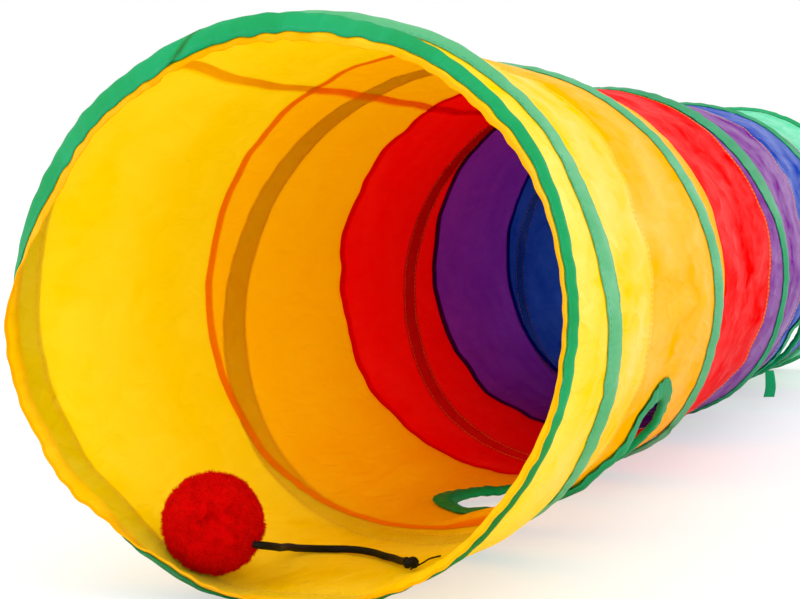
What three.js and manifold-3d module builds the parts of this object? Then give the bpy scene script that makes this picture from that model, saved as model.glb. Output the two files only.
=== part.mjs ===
// Pop-up cat tunnel of sewn taffeta, lying on a floor.
// Six coloured tube panels, a tape casing wound round them, two bound peepholes,
// and a yarn pompom on an elastic cord inside the front mouth.
// Millimetres, +Z up. The tunnel runs along Y, with its front mouth towards -Y.
// A place on the cloth is a depth (from the front hem) and an angle (from the top, towards +X).

import * as THREE from 'three';
import { mergeVertices } from 'three/addons/utils/BufferGeometryUtils.js';
import Module from 'manifold-3d';

// Driving dimensions
const PANEL_LENGTH = 200;
const CLOTH_RADIUS = 125;
const CLOTH_THICK = 1.5;
const PIECE_GAP = 0.3;
const LAY_GAP = 0.5;
const AXIS_HEIGHT = 127;
// The front ring leans to the left, so the tunnel is moved to the right to centre its box.
const CENTRING = 2.2;

// Folds of the cloth
const WAIST_DEPTH = 3;
const MOUTH_FLARE = 5;
const MOUTH_FLARE_REACH = 40;
const RING_BEND_REACH = 25;
const BULGE_STARTS = { depth: 8, full: 58 };
const BULGE_ENDS = { depth: 110, none: 420 };
const BELLY = 2;
const BELLY_ANGLE = 45;
const BELLY_SPREAD = 20;
const BACK_HEM_DRAW = 5;
const HEM_WAVES = [
  { count: 5, height: 0.6, shift: 40 },
  { count: 9, height: 0.4, shift: 0 },
];
const FRONT_ROW_DEPTHS = [28, 35, 42, 49, 57, 72, 100, 150];
const BACK_ROW_INSETS = [30, 45, 65, 100, 150];
const PANEL_PARTS = 4;
const HOLE_PANEL_PARTS = 5;
const SEAM_ANGLE = 330.5;
const SEAM_HALF_ANGLE = 2.5;
const SEAM_RAMP_ANGLE = 0.5;
const SEAM_EXTRA = 0.9;

// Tape casing
const RING_WIDTH = 17;
const COIL_WIDTH = 27;
const CASING_CROWN = 9;
const RING_LAY_PLACES = [-1, 0, 0.5, 1];
const COIL_LAY_PLACES = [-1, -0.5, 0, 0.5, 1];
const CASING_EDGE = 1.4;
const CASING_HEIGHT = 2.8;
const RING_DEPTH = 14.5;
const RING_TILT = 3.5;
const RING_TILT_ANGLE = 335;
const TAPE_TURN = 10;
const TAPE_TURN_STARTS = { angle: 264, full: 300 };
const TAPE_TURN_ENDS = { angle: 318, none: 440 };
const END_RING_INSET = 14;
const COIL_INSET = 38.5;
const COIL_TURNS = 3.8;
const COIL_START_ANGLE = 18;
const COIL_LEAD_ANGLE = -18.1;
const COIL_JOIN_ANGLE = 333;
const COIL_JOIN_TRIM = 0.1;

// Peepholes
const HOLE_ANGLE = 151;
const HOLE_IN_PANEL = 86;
const HOLE_HALF_DEPTH = 53;
const HOLE_HALF_ARC = 69;
const BINDING_COVER = 8;
const BINDING_CLEAR = 1.8;
const BINDING_THICK = 1.2;
const BINDING_LIFT = 0.85;
const HOLE_SIDES = 40;

// Loose tape end
const TAIL_WIDTH = 9;
const TAIL_THICK = 1.2;
const TAIL_FACING = 55;
const TAIL_STAND_OFF = 2.8;
const TAIL_BEYOND = 3;
const TAIL_TURN = 206;
const TAIL_PANEL = 4;

// Pompom and cord
const POMPOM_CENTRE = new THREE.Vector3(-45, -570.5, 32.4);
const POMPOM_RADIUS = 23.7;
const POMPOM_CORE_RADIUS = 15;
const POMPOM_LOCKS = 76;
const LOCK_ROOT_RADIUS = 3;
const LOCK_TIP_RADIUS = 1.5;
const LOCK_SUNK = 2;
const LOCK_CLEAR = 1;
const LOCK_TRIM_STEP = 0.2;
const CORD_WAY_ANGLE = 0.45;
const CORD_DIAMETER = 3.6;
const CORD_SIDES = 8;
const CORD_STEPS = 26;
const KNOT_TURN_RADIUS = 2.4;
const KNOT_LEANS = [-0.5, 0.6];

const GREEN_TAPE = { colour: 0x00ac87, roughness: 0.6 };
const RED_YARN = { colour: 0xdc0000, roughness: 0.95 };
const BLACK_ELASTIC = { colour: 0x141210, roughness: 0.7 };
const TAFFETA_ROUGHNESS = 0.45;

// Front to back. The hem column says which end of a panel is a gathered mouth.
const PANELS = [
  { name: 'yellow', colour: 0xfad200, hem: 'front', hole: false },
  { name: 'orange', colour: 0xffb200, hem: 'none', hole: true },
  { name: 'red', colour: 0xf00800, hem: 'none', hole: false },
  { name: 'purple', colour: 0x7a2a8c, hem: 'none', hole: false },
  { name: 'blue', colour: 0x3a55be, hem: 'none', hole: true },
  { name: 'green', colour: 0x5fd0a0, hem: 'back', hole: false },
];

// How far the front hem is drawn in round the mouth. Below zero it spreads over the tape.
const HEM_DRAWS = [
  [0, 0.5],
  [45, 0.5],
  [90, -2.5],
  [150, -2.5],
  [185, 0.5],
  [205, 0.5],
  [228, -2.5],
  [262, -2],
  [288, 0.5],
  [360, 0.5],
];

// How far the front ring stands out of true round the mouth, as its spring wire was bent.
const RING_BENDS = [
  [0, -1.5],
  [15, -0.5],
  [30, 2],
  [50, 1.5],
  [80, -3],
  [100, -5],
  [130, -8],
  [150, -6],
  [180, -2],
  [212, -8],
  [226, -6.5],
  [240, -1.5],
  [256, 3.5],
  [275, 4.5],
  [290, 4],
  [305, 2.5],
  [330, 1],
  [345, 0.5],
  [360, -1.5],
];

// How far the cloth behind the front ring stands out, high on the right where the coil springs open.
const TOP_BULGES = [
  [0, 7],
  [25, 7],
  [45, 4.5],
  [70, 0.5],
  [85, 0],
  [290, 0],
  [325, 4],
  [345, 6],
  [360, 7],
];

// How far the coil strays along the tunnel from an even winding, by the angle it has wound through.
const COIL_STRAYS = [
  [-18.1, -4.4],
  [0, -3.6],
  [18, 0],
  [81, 2],
  [287, -5],
  [443, -14],
  [648, 10],
  [803, -26],
  [1007, 8],
  [1200, 0],
  [1386, 0],
];

const TUNNEL_LENGTH = PANELS.length * PANEL_LENGTH;
const COIL_PITCH = (TUNNEL_LENGTH - 2 * COIL_INSET) / COIL_TURNS;
const COIL_END_ANGLE = COIL_START_ANGLE + 360 * COIL_TURNS;
const COLUMN_STEP = 9;

// The cord from its knot in the cloth to the core of the pompom.
const CORD_ROUTE = [
  { x: 33, y: -524, z: 10.7 },
  { x: 29, y: -517, z: 9.5 },
  { x: 24, y: -510, z: 8.4 },
  { x: 18, y: -502, z: 7.7 },
  { x: 11, y: -495, z: 7.1 },
  { x: 4, y: -489, z: 7.1 },
  { x: -4, y: -485, z: 7.1 },
  { x: -12, y: -484, z: 7.1 },
  { x: -19, y: -488, z: 7.5 },
  { x: -24, y: -494, z: 8.4 },
  { x: -27, y: -502, z: 9.8 },
  { x: -28, y: -511, z: 11.5 },
  { x: -28, y: -521, z: 13.8 },
  { x: -27, y: -531, z: 15.4 },
  { x: -23, y: -545, z: 18 },
  { x: -19.8, y: -556, z: 20.4 },
  { x: -19.6, y: -566, z: 22.6 },
  { x: -23.4, y: -572, z: 24.3 },
  { x: -30.4, y: -571.8, z: 27 },
];

// The loose tape end from its root on the binding: out to the side, along the tunnel, and down.
const TAIL_ROUTE = [
  { out: 0, along: 0, drop: 0 },
  { out: 1, along: -2, drop: 7 },
  { out: 1.5, along: -4, drop: 14 },
  { out: 0.5, along: -6, drop: 21 },
];

const wasm = await Module();
wasm.setup();

function sinDeg(angle) {
  return Math.sin(THREE.MathUtils.degToRad(angle));
}

function cosDeg(angle) {
  return Math.cos(THREE.MathUtils.degToRad(angle));
}

// A value from a table of places and values, eased from each row to the next.
function eased(table, place) {
  const next = Math.max(1, table.findIndex((row) => row[0] >= place));
  const [fromPlace, from] = table[next - 1];
  const [toPlace, to] = table[next];
  return THREE.MathUtils.lerp(from, to, THREE.MathUtils.smoothstep(place, fromPlace, toPlace));
}

// Angles at which the cloth has points: even steps, and the edges of the lengthwise seam.
function clothColumns() {
  const outer = SEAM_HALF_ANGLE + SEAM_RAMP_ANGLE;
  const angles = new Set();
  for (let angle = 0; angle < 360; angle += COLUMN_STEP) {
    angles.add(angle);
  }
  for (const side of [-outer, -SEAM_HALF_ANGLE, SEAM_HALF_ANGLE, outer]) {
    angles.add(SEAM_ANGLE + side);
  }
  return [...angles].sort((a, b) => a - b);
}

const COLUMNS = clothColumns();

function frontRingDepth(angle) {
  return RING_DEPTH - RING_TILT * cosDeg(angle - RING_TILT_ANGLE);
}

function endRingDepth() {
  return TUNNEL_LENGTH - END_RING_INSET;
}

// The coil first runs along the front ring for a little way.
function coilDepth(unwound) {
  const wound = Math.max(0, unwound - COIL_START_ANGLE);
  return COIL_INSET + (COIL_PITCH * wound) / 360 + eased(COIL_STRAYS, unwound);
}

// Depths at which spring wire holds the cloth out, at one angle.
function heldDepths(angle) {
  const depths = [frontRingDepth(angle)];
  for (let unwound = angle - 360; unwound <= COIL_END_ANGLE; unwound += 360) {
    if (unwound >= COIL_LEAD_ANGLE) depths.push(coilDepth(unwound));
  }
  depths.push(endRingDepth());
  return depths;
}

// Cloth between two turns of wire draws in, more so where the turns stand further apart.
function waist(depth, angle) {
  const held = heldDepths(angle);
  const next = held.findIndex((place) => place > depth);
  if (next < 1) return 0;
  const span = held[next] - held[next - 1];
  const share = (depth - held[next - 1]) / span;
  return WAIST_DEPTH * (span / COIL_PITCH) ** 2 * 0.5 * (1 - Math.cos(2 * Math.PI * share));
}

function mouthFlare(depth) {
  const fromRing = Math.min(Math.abs(depth - RING_DEPTH), Math.abs(endRingDepth() - depth));
  return MOUTH_FLARE * Math.exp(-0.5 * (fromRing / MOUTH_FLARE_REACH) ** 2);
}

function ringBend(depth, angle) {
  return eased(RING_BENDS, angle) * Math.exp(-0.5 * ((depth - RING_DEPTH) / RING_BEND_REACH) ** 2);
}

function topBulge(depth, angle) {
  const rise = THREE.MathUtils.smoothstep(depth, BULGE_STARTS.depth, BULGE_STARTS.full);
  const fall = 1 - THREE.MathUtils.smoothstep(depth, BULGE_ENDS.depth, BULGE_ENDS.none);
  return eased(TOP_BULGES, angle) * rise * fall;
}

// The flattened underside pushes the lower sides out.
function belly(angle) {
  const fromSide = Math.abs(angle - 180) - BELLY_ANGLE;
  return BELLY * Math.exp(-((fromSide / BELLY_SPREAD) ** 2));
}

// Where the drawn-in hem starts, at each mouth.
function frontHemDepth(angle) {
  return frontRingDepth(angle) - RING_WIDTH / 2 - LAY_GAP;
}

function backHemDepth() {
  return endRingDepth() + RING_WIDTH / 2 + LAY_GAP;
}

function hemWave(angle) {
  return HEM_WAVES.reduce((sum, wave) => sum + wave.height * sinDeg(wave.count * angle + wave.shift), 0);
}

// High on the left, and just past the top, the cloth in front of the wire turns in and its tape faces forward.
function tapeTurn(depth, angle) {
  const wire = frontRingDepth(angle);
  if (depth >= wire) return 0;
  const unwound = angle < 180 ? angle + 360 : angle;
  const rise = THREE.MathUtils.smoothstep(unwound, TAPE_TURN_STARTS.angle, TAPE_TURN_STARTS.full);
  const fall = 1 - THREE.MathUtils.smoothstep(unwound, TAPE_TURN_ENDS.angle, TAPE_TURN_ENDS.none);
  return TAPE_TURN * rise * fall * (1 - depth / wire);
}

function hemDraw(depth, angle) {
  const front = frontHemDepth(angle);
  const back = backHemDepth();
  if (depth < front) return (eased(HEM_DRAWS, angle) + hemWave(angle)) * (1 - depth / front);
  if (depth > back) return (BACK_HEM_DRAW * (depth - back)) / (TUNNEL_LENGTH - back);
  return 0;
}

function clothRadius(depth, angle) {
  const drawnIn = waist(depth, angle) + tapeTurn(depth, angle) + hemDraw(depth, angle);
  const bent = ringBend(depth, angle) + topBulge(depth, angle) + belly(angle);
  return CLOTH_RADIUS + mouthFlare(depth) + bent - drawnIn;
}

// A point at a cloth column, lifted off the outer face of the cloth. The floor flattens the underside.
function columnPoint(depth, angle, lift) {
  const radius = clothRadius(depth, angle) + lift;
  const height = AXIS_HEIGHT + radius * cosDeg(angle);
  const lowest = CASING_HEIGHT - lift;
  return new THREE.Vector3(radius * sinDeg(angle), depth - TUNNEL_LENGTH / 2, Math.max(height, lowest));
}

// The same at any angle, on the flat facet between two cloth columns.
function clothPoint(depth, angle, lift) {
  const turned = THREE.MathUtils.euclideanModulo(angle, 360);
  const after = COLUMNS.findIndex((column) => column > turned);
  const last = after < 0 ? COLUMNS.length - 1 : after - 1;
  const low = COLUMNS[last];
  const high = after < 0 ? 360 : COLUMNS[after];
  const start = columnPoint(depth, low, lift);
  return start.lerp(columnPoint(depth, high % 360, lift), (turned - low) / (high - low));
}

function signedVolume(points, faces) {
  let sum = 0;
  for (let i = 0; i < faces.length; i += 3) {
    const normal = points[faces[i + 1]].clone().cross(points[faces[i + 2]]);
    sum += points[faces[i]].dot(normal);
  }
  return sum;
}

// A closed solid from like sections in a row. An open row is capped with fans at both ends.
function sweptGeometry(sections, closed) {
  const size = sections[0].length;
  const points = sections.flat();
  const faces = [];
  const links = closed ? sections.length : sections.length - 1;
  for (let i = 0; i < links; i += 1) {
    const near = i * size;
    const far = ((i + 1) % sections.length) * size;
    for (let j = 0; j < size; j += 1) {
      const k = (j + 1) % size;
      faces.push(near + j, far + j, far + k, near + j, far + k, near + k);
    }
  }
  const end = (sections.length - 1) * size;
  for (let j = 1; !closed && j < size - 1; j += 1) {
    faces.push(0, j, j + 1, end, end + j + 1, end + j);
  }
  if (signedVolume(points, faces) < 0) faces.reverse();
  const geometry = new THREE.BufferGeometry().setFromPoints(points);
  geometry.setIndex(faces);
  return geometry;
}

function toSolid(geometry) {
  const plain = geometry.clone();
  plain.deleteAttribute('normal');
  plain.deleteAttribute('uv');
  const merged = mergeVertices(plain);
  const vertProperties = new Float32Array(merged.attributes.position.array);
  const triVerts = new Uint32Array(merged.index.array);
  return new wasm.Manifold(new wasm.Mesh({ numProp: 3, vertProperties, triVerts }));
}

function fromSolid(solid) {
  const mesh = solid.getMesh();
  const geometry = new THREE.BufferGeometry();
  geometry.setAttribute('position', new THREE.BufferAttribute(mesh.vertProperties, 3));
  geometry.setIndex(new THREE.BufferAttribute(mesh.triVerts, 1));
  return geometry;
}

function addPiece(group, name, geometry, finish) {
  geometry.translate(CENTRING, 0, 0);
  geometry.computeVertexNormals();
  const material = new THREE.MeshStandardMaterial({
    color: finish.colour,
    roughness: finish.roughness,
    metalness: 0,
  });
  const mesh = new THREE.Mesh(geometry, material);
  mesh.name = name;
  group.add(mesh);
}

// Depths of a panel's rows of points at one angle, closer together by a hem.
function panelRows(panel, index, angle) {
  const start = index * PANEL_LENGTH + PIECE_GAP / 2;
  const end = (index + 1) * PANEL_LENGTH - PIECE_GAP / 2;
  if (panel.hem === 'front') {
    const hem = frontHemDepth(angle);
    const ring = frontRingDepth(angle);
    return [0, 0.5 * hem, hem, ring, ring + RING_WIDTH / 4, ring + RING_WIDTH / 2, ...FRONT_ROW_DEPTHS, end];
  }
  if (panel.hem === 'back') {
    const hem = backHemDepth();
    const behind = BACK_ROW_INSETS.map((depth) => TUNNEL_LENGTH - depth).reverse();
    return [start, ...behind, hem, 0.5 * (hem + TUNNEL_LENGTH), TUNNEL_LENGTH];
  }
  const parts = panel.hole ? HOLE_PANEL_PARTS : PANEL_PARTS;
  const rows = [];
  for (let i = 0; i <= parts; i += 1) {
    rows.push(start + ((end - start) * i) / parts);
  }
  return rows;
}

function clothThickness(angle) {
  const inSeam = Math.abs(angle - SEAM_ANGLE) <= SEAM_HALF_ANGLE;
  return CLOTH_THICK + (inSeam ? SEAM_EXTRA : 0);
}

function panelGeometry(panel, index) {
  const sections = COLUMNS.map((angle) => {
    const rows = panelRows(panel, index, angle);
    const outside = rows.map((depth) => columnPoint(depth, angle, 0));
    const inside = rows.map((depth) => columnPoint(depth, angle, -clothThickness(angle)));
    return [...outside, ...inside.reverse()];
  });
  return sweptGeometry(sections, true);
}

function holeDepth(index) {
  return index * PANEL_LENGTH + HOLE_IN_PANEL;
}

// A straight oval plug through one side of the tube, to cut a peephole with.
function holePlug(depth) {
  const length = CLOTH_RADIUS;
  const plug = new THREE.CylinderGeometry(1, 1, length, HOLE_SIDES);
  plug.rotateY(Math.PI / 2);
  plug.scale(HOLE_HALF_DEPTH, 1, HOLE_HALF_ARC);
  const outward = new THREE.Vector3(sinDeg(HOLE_ANGLE), 0, cosDeg(HOLE_ANGLE));
  const along = new THREE.Vector3(0, 1, 0);
  const around = along.clone().cross(outward);
  const place = new THREE.Matrix4().makeBasis(along, outward, around);
  const centre = outward.clone().multiplyScalar(CLOTH_RADIUS);
  centre.add(new THREE.Vector3(0, depth - TUNNEL_LENGTH / 2, AXIS_HEIGHT));
  return plug.applyMatrix4(place.setPosition(centre));
}

// A point of the binding: how far out from the hole's edge, and how far off the cloth.
function bindingPoint(depth, turn, beyond, lift) {
  const across = (HOLE_HALF_ARC + beyond) * sinDeg(turn);
  const angle = HOLE_ANGLE + THREE.MathUtils.radToDeg(Math.asin(across / (CLOTH_RADIUS + lift)));
  return clothPoint(depth + (HOLE_HALF_DEPTH + beyond) * cosDeg(turn), angle, lift);
}

// Tape folded over the edge of a peephole, on both faces of the cloth.
function bindingGeometry(depth) {
  const above = BINDING_LIFT;
  const below = -CLOTH_THICK - BINDING_LIFT;
  const web = -BINDING_CLEAR;
  const mouth = web - BINDING_THICK;
  const profile = [
    { beyond: mouth, lift: above + BINDING_THICK },
    { beyond: BINDING_COVER, lift: above + BINDING_THICK },
    { beyond: BINDING_COVER, lift: above },
    { beyond: BINDING_COVER / 2, lift: above },
    { beyond: web, lift: above },
    { beyond: web, lift: below },
    { beyond: BINDING_COVER, lift: below },
    { beyond: BINDING_COVER, lift: below - BINDING_THICK },
    { beyond: mouth, lift: below - BINDING_THICK },
  ];
  const sections = [];
  for (let i = 0; i < HOLE_SIDES; i += 1) {
    const turn = (360 * i) / HOLE_SIDES;
    sections.push(profile.map((spot) => bindingPoint(depth, turn, spot.beyond, spot.lift)));
  }
  return sweptGeometry(sections, true);
}

// One cross-section of casing: a flat tape with a low crown over the wire.
function casingSection(depth, angle, width, layPlaces) {
  const half = width / 2;
  const crown = CASING_CROWN / 2;
  return [
    ...layPlaces.map((place) => clothPoint(depth + half * place, angle, LAY_GAP)),
    clothPoint(depth + half, angle, CASING_EDGE),
    clothPoint(depth + crown, angle, CASING_HEIGHT),
    clothPoint(depth - crown, angle, CASING_HEIGHT),
    clothPoint(depth - half, angle, CASING_EDGE),
  ];
}

function ringCasing(depthAt) {
  return sweptGeometry(COLUMNS.map((angle) => casingSection(depthAt(angle), angle, RING_WIDTH, RING_LAY_PLACES)), true);
}

// Angles of one length of the coil: its trimmed ends and the cloth columns between them.
function coilAngles(start, end) {
  const first = start + COIL_JOIN_TRIM;
  const last = end - COIL_JOIN_TRIM;
  const between = [];
  for (let turn = -360; turn < end; turn += 360) {
    for (const column of COLUMNS) {
      const angle = turn + column;
      if (angle > first && angle < last) between.push(angle);
    }
  }
  return [first, ...between, last];
}

function coilCasing(start, end) {
  const angles = coilAngles(start, end);
  const sections = angles.map((angle) => casingSection(coilDepth(angle), angle, COIL_WIDTH, COIL_LAY_PLACES));
  return sweptGeometry(sections, false);
}

// A flat strip of tape that hangs from the front of the binding at the given depth.
function tailGeometry(depth) {
  const lift = BINDING_LIFT + BINDING_THICK + TAIL_STAND_OFF;
  const root = bindingPoint(depth, TAIL_TURN, TAIL_BEYOND, lift);
  const half = TAIL_WIDTH / 2;
  const across = new THREE.Vector3(sinDeg(TAIL_FACING), cosDeg(TAIL_FACING), 0);
  const facing = new THREE.Vector3(cosDeg(TAIL_FACING), -sinDeg(TAIL_FACING), 0);
  const sections = TAIL_ROUTE.map((spot) => {
    const centre = root.clone().add(new THREE.Vector3(spot.out, spot.along, -spot.drop));
    return [
      centre.clone().addScaledVector(across, -half),
      centre.clone().addScaledVector(across, half),
      centre.clone().addScaledVector(across, half).addScaledVector(facing, TAIL_THICK),
      centre.clone().addScaledVector(across, -half).addScaledVector(facing, TAIL_THICK),
    ];
  });
  return sweptGeometry(sections, false);
}

function cordCurve() {
  const points = CORD_ROUTE.map((spot) => new THREE.Vector3(spot.x, spot.y, spot.z));
  return new THREE.CatmullRomCurve3(points);
}

function cordGeometry() {
  const outline = [];
  for (let i = 0; i < CORD_SIDES; i += 1) {
    const angle = (360 * i) / CORD_SIDES;
    const radius = CORD_DIAMETER / 2;
    outline.push(new THREE.Vector2(radius * cosDeg(angle), radius * sinDeg(angle)));
  }
  const options = { steps: CORD_STEPS, bevelEnabled: false, extrudePath: cordCurve() };
  return new THREE.ExtrudeGeometry(new THREE.Shape(outline), options);
}

// Two turns of cord crossed over a small heart.
function knotGeometry() {
  const tube = CORD_DIAMETER / 2;
  const heart = new THREE.SphereGeometry(KNOT_TURN_RADIUS, 8, 6);
  let solid = toSolid(heart);
  for (const lean of KNOT_LEANS) {
    const turn = new THREE.TorusGeometry(KNOT_TURN_RADIUS, tube, 5, 10);
    turn.rotateX(lean);
    turn.rotateZ(lean);
    solid = solid.add(toSolid(turn));
  }
  const reach = KNOT_TURN_RADIUS + tube + PIECE_GAP;
  const centre = cordCurve().getPoint(0).addScaledVector(cordCurve().getTangent(0), -reach);
  return fromSolid(solid).translate(centre.x, centre.y, centre.z);
}

// Directions spread evenly over a ball.
function lockDirections() {
  const golden = Math.PI * (3 - Math.sqrt(5));
  const directions = [];
  for (let i = 0; i < POMPOM_LOCKS; i += 1) {
    const height = 1 - (2 * (i + 0.5)) / POMPOM_LOCKS;
    const ring = Math.sqrt(1 - height * height);
    directions.push(new THREE.Vector3(ring * Math.cos(golden * i), ring * Math.sin(golden * i), height));
  }
  return directions;
}

// How far a lock may reach before it meets the cloth that the pompom lies on.
function lockReach(direction) {
  let reach = POMPOM_CORE_RADIUS;
  while (reach < POMPOM_RADIUS) {
    const tip = direction.clone().multiplyScalar(reach + LOCK_TRIM_STEP).add(POMPOM_CENTRE);
    const angle = THREE.MathUtils.radToDeg(Math.atan2(tip.x, tip.z - AXIS_HEIGHT));
    const fromAxis = Math.hypot(tip.x, tip.z - AXIS_HEIGHT);
    const face = clothPoint(tip.y + TUNNEL_LENGTH / 2, angle, -CLOTH_THICK - LOCK_CLEAR);
    const limit = Math.hypot(face.x, face.z - AXIS_HEIGHT);
    if (fromAxis > limit) return reach;
    reach += LOCK_TRIM_STEP;
  }
  return POMPOM_RADIUS;
}

// A yarn ball: tapered locks rooted in a core, left out where the cord comes through.
function pompomGeometry() {
  const end = CORD_ROUTE[CORD_ROUTE.length - 1];
  const cordWay = new THREE.Vector3(end.x, end.y, end.z).sub(POMPOM_CENTRE).normalize();
  const up = new THREE.Vector3(0, 1, 0);
  let solid = toSolid(new THREE.IcosahedronGeometry(POMPOM_CORE_RADIUS, 2));
  for (const direction of lockDirections()) {
    const reach = lockReach(direction);
    if (direction.angleTo(cordWay) < CORD_WAY_ANGLE || reach <= POMPOM_CORE_RADIUS) continue;
    const length = reach - POMPOM_CORE_RADIUS + LOCK_SUNK;
    const lock = new THREE.CylinderGeometry(LOCK_TIP_RADIUS, LOCK_ROOT_RADIUS, length, 3);
    lock.translate(0, POMPOM_CORE_RADIUS - LOCK_SUNK + length / 2, 0);
    lock.applyQuaternion(new THREE.Quaternion().setFromUnitVectors(up, direction));
    solid = solid.add(toSolid(lock));
  }
  const geometry = fromSolid(solid);
  geometry.translate(POMPOM_CENTRE.x, POMPOM_CENTRE.y, POMPOM_CENTRE.z);
  return geometry;
}

const tunnel = new THREE.Group();

PANELS.forEach((panel, index) => {
  let geometry = panelGeometry(panel, index);
  if (panel.hole) {
    const depth = holeDepth(index);
    geometry = fromSolid(toSolid(geometry).subtract(toSolid(holePlug(depth))));
    addPiece(tunnel, `binding_${panel.name}`, bindingGeometry(depth), GREEN_TAPE);
  }
  addPiece(tunnel, `panel_${panel.name}`, geometry, { colour: panel.colour, roughness: TAFFETA_ROUGHNESS });
});

addPiece(tunnel, 'casing_front', ringCasing(frontRingDepth), GREEN_TAPE);
addPiece(tunnel, 'casing_end', ringCasing(endRingDepth), GREEN_TAPE);

let coilStart = COIL_LEAD_ANGLE;
for (let length = 1; coilStart < COIL_END_ANGLE; length += 1) {
  const coilEnd = Math.min(COIL_JOIN_ANGLE + 360 * (length - 1), COIL_END_ANGLE);
  addPiece(tunnel, `casing_turn_${length}`, coilCasing(coilStart, coilEnd), GREEN_TAPE);
  coilStart = coilEnd;
}

addPiece(tunnel, 'tape_tail', tailGeometry(holeDepth(TAIL_PANEL)), GREEN_TAPE);
addPiece(tunnel, 'pompom', pompomGeometry(), RED_YARN);
addPiece(tunnel, 'pompom_cord', cordGeometry(), BLACK_ELASTIC);
addPiece(tunnel, 'cord_knot', knotGeometry(), BLACK_ELASTIC);

export default tunnel;
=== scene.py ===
# %% [markdown]
# # A pop-up play tunnel of taffeta
# The tunnel is a tube of six dyed panels sewn end to end. A spring wire runs round it
# in a tape casing and pushes the cloth out. Two peepholes are bound with the same tape,
# and a yarn pompom lies in the front mouth on an elastic cord.
# The solids come first, as a fixed frame. Everything below is dressed onto them, in metres.

# %% Load the frame and keep its box
import math

import bpy
import numpy as np
from mathutils import Matrix, Vector


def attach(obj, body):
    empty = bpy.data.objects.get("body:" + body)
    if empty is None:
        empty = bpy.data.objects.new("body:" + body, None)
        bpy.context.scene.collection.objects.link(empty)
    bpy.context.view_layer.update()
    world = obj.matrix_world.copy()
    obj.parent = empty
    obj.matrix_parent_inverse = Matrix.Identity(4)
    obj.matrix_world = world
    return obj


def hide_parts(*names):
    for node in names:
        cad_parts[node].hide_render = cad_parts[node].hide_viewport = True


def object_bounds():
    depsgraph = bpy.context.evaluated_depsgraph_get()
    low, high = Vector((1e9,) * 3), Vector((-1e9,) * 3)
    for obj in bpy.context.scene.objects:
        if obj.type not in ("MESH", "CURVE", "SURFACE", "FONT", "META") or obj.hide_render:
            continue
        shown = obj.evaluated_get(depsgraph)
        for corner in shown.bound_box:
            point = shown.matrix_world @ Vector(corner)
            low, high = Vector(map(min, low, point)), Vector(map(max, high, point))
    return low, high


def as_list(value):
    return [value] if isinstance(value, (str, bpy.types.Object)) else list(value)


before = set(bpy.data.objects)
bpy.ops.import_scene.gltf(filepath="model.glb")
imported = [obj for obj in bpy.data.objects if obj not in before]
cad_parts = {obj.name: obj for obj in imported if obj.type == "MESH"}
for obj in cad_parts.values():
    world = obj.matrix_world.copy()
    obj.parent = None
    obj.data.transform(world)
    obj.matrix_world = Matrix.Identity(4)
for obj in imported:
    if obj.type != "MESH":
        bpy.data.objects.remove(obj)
cad_low, cad_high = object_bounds()
MM = 0.001
print("frame:", len(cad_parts), "nodes, box", [round(side, 3) for side in cad_high - cad_low])

# %% [markdown]
# ## Camera
# A product photograph is taken from far away with a long lens, so that the far end
# doesn't shrink away. Place, turn and lens were worked out from the round mouth and
# the ring seams. The camera looks along the tunnel from its front right, almost level.

# %% Camera at the photograph's angle
CENTRING = 2.2
CAMERA_PLACE = Vector((325.9 + CENTRING, -1396.9, 188.4)) * MM
CAMERA_TURN = 18.78
CAMERA_DIP = 3.44
CAMERA_ROLL = -0.08
LENS = 90.0
SENSOR = 36.0


def turned(angle, axis):
    return Matrix.Rotation(math.radians(angle), 4, axis)


scene = bpy.context.scene
lens = bpy.data.cameras.new("photo_camera")
lens.lens = LENS
lens.sensor_width = SENSOR
lens.sensor_fit = "HORIZONTAL"
camera = bpy.data.objects.new("photo_camera", lens)
aim = turned(CAMERA_TURN, "Z") @ turned(90 - CAMERA_DIP, "X") @ turned(CAMERA_ROLL, "Z")
camera.matrix_world = Matrix.Translation(CAMERA_PLACE) @ aim
scene.collection.objects.link(camera)
scene.camera = camera
print("camera", round(CAMERA_PLACE.length, 2), "m from the middle of the tunnel")

# %% [markdown]
# ## Nodes in one line
# Materials, sky and floor are all trees of shader nodes. Clicking them together in the editor is
# quick but can't be repeated, so one helper adds a node and either sets a socket or links it.
# Colours are written as six hex digits, as on a screen, and turned into the linear values that
# shaders take.

# %% Helpers for nodes and colours


def new_node(tree, kind, sockets=None, **settings):
    """A shader node with its settings. A socket is given a value, or the output that feeds it."""
    made = tree.nodes.new(kind)
    for name, value in settings.items():
        setattr(made, name, value)
    for name, value in (sockets or {}).items():
        if isinstance(value, bpy.types.NodeSocket):
            tree.links.new(value, made.inputs[name])
        else:
            made.inputs[name].default_value = value
    return made


def maths(tree, operation, first, second=0.0):
    return new_node(tree, "ShaderNodeMath", {0: first, 1: second}, operation=operation).outputs[0]


def new_material(name):
    material = bpy.data.materials.new(name)
    material.use_nodes = True
    material.node_tree.nodes.clear()
    return material, material.node_tree


def show(tree, shader):
    new_node(tree, "ShaderNodeOutputMaterial", {"Surface": shader.outputs[0]})


def linear(code):
    """A colour written as six hex digits, as the linear values that shaders take."""
    shares = [int(code[i : i + 2], 16) / 255 for i in (0, 2, 4)]
    curve = [s / 12.92 if s <= 0.04045 else ((s + 0.055) / 1.055) ** 2.4 for s in shares]
    return (*curve, 1.0)


print("middle grey 808080 is", round(linear("808080")[0], 3), "in linear light")

# %% [markdown]
# ## Floor and light
# The object stands on a white sweep under big soft lights. An even white sky does most of
# the work, because thin cloth glows when light reaches it from every side. A broad light from
# above gives the soft shadow, one from the left shines through the cloth, one from the front right
# reaches into the mouth, and a soft box far behind on the right draws a sheen along the outside.
# Dyed light would colour the floor, so the camera sees the floor half as plain white paper.
# The standard view keeps dyed colours strong.

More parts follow.
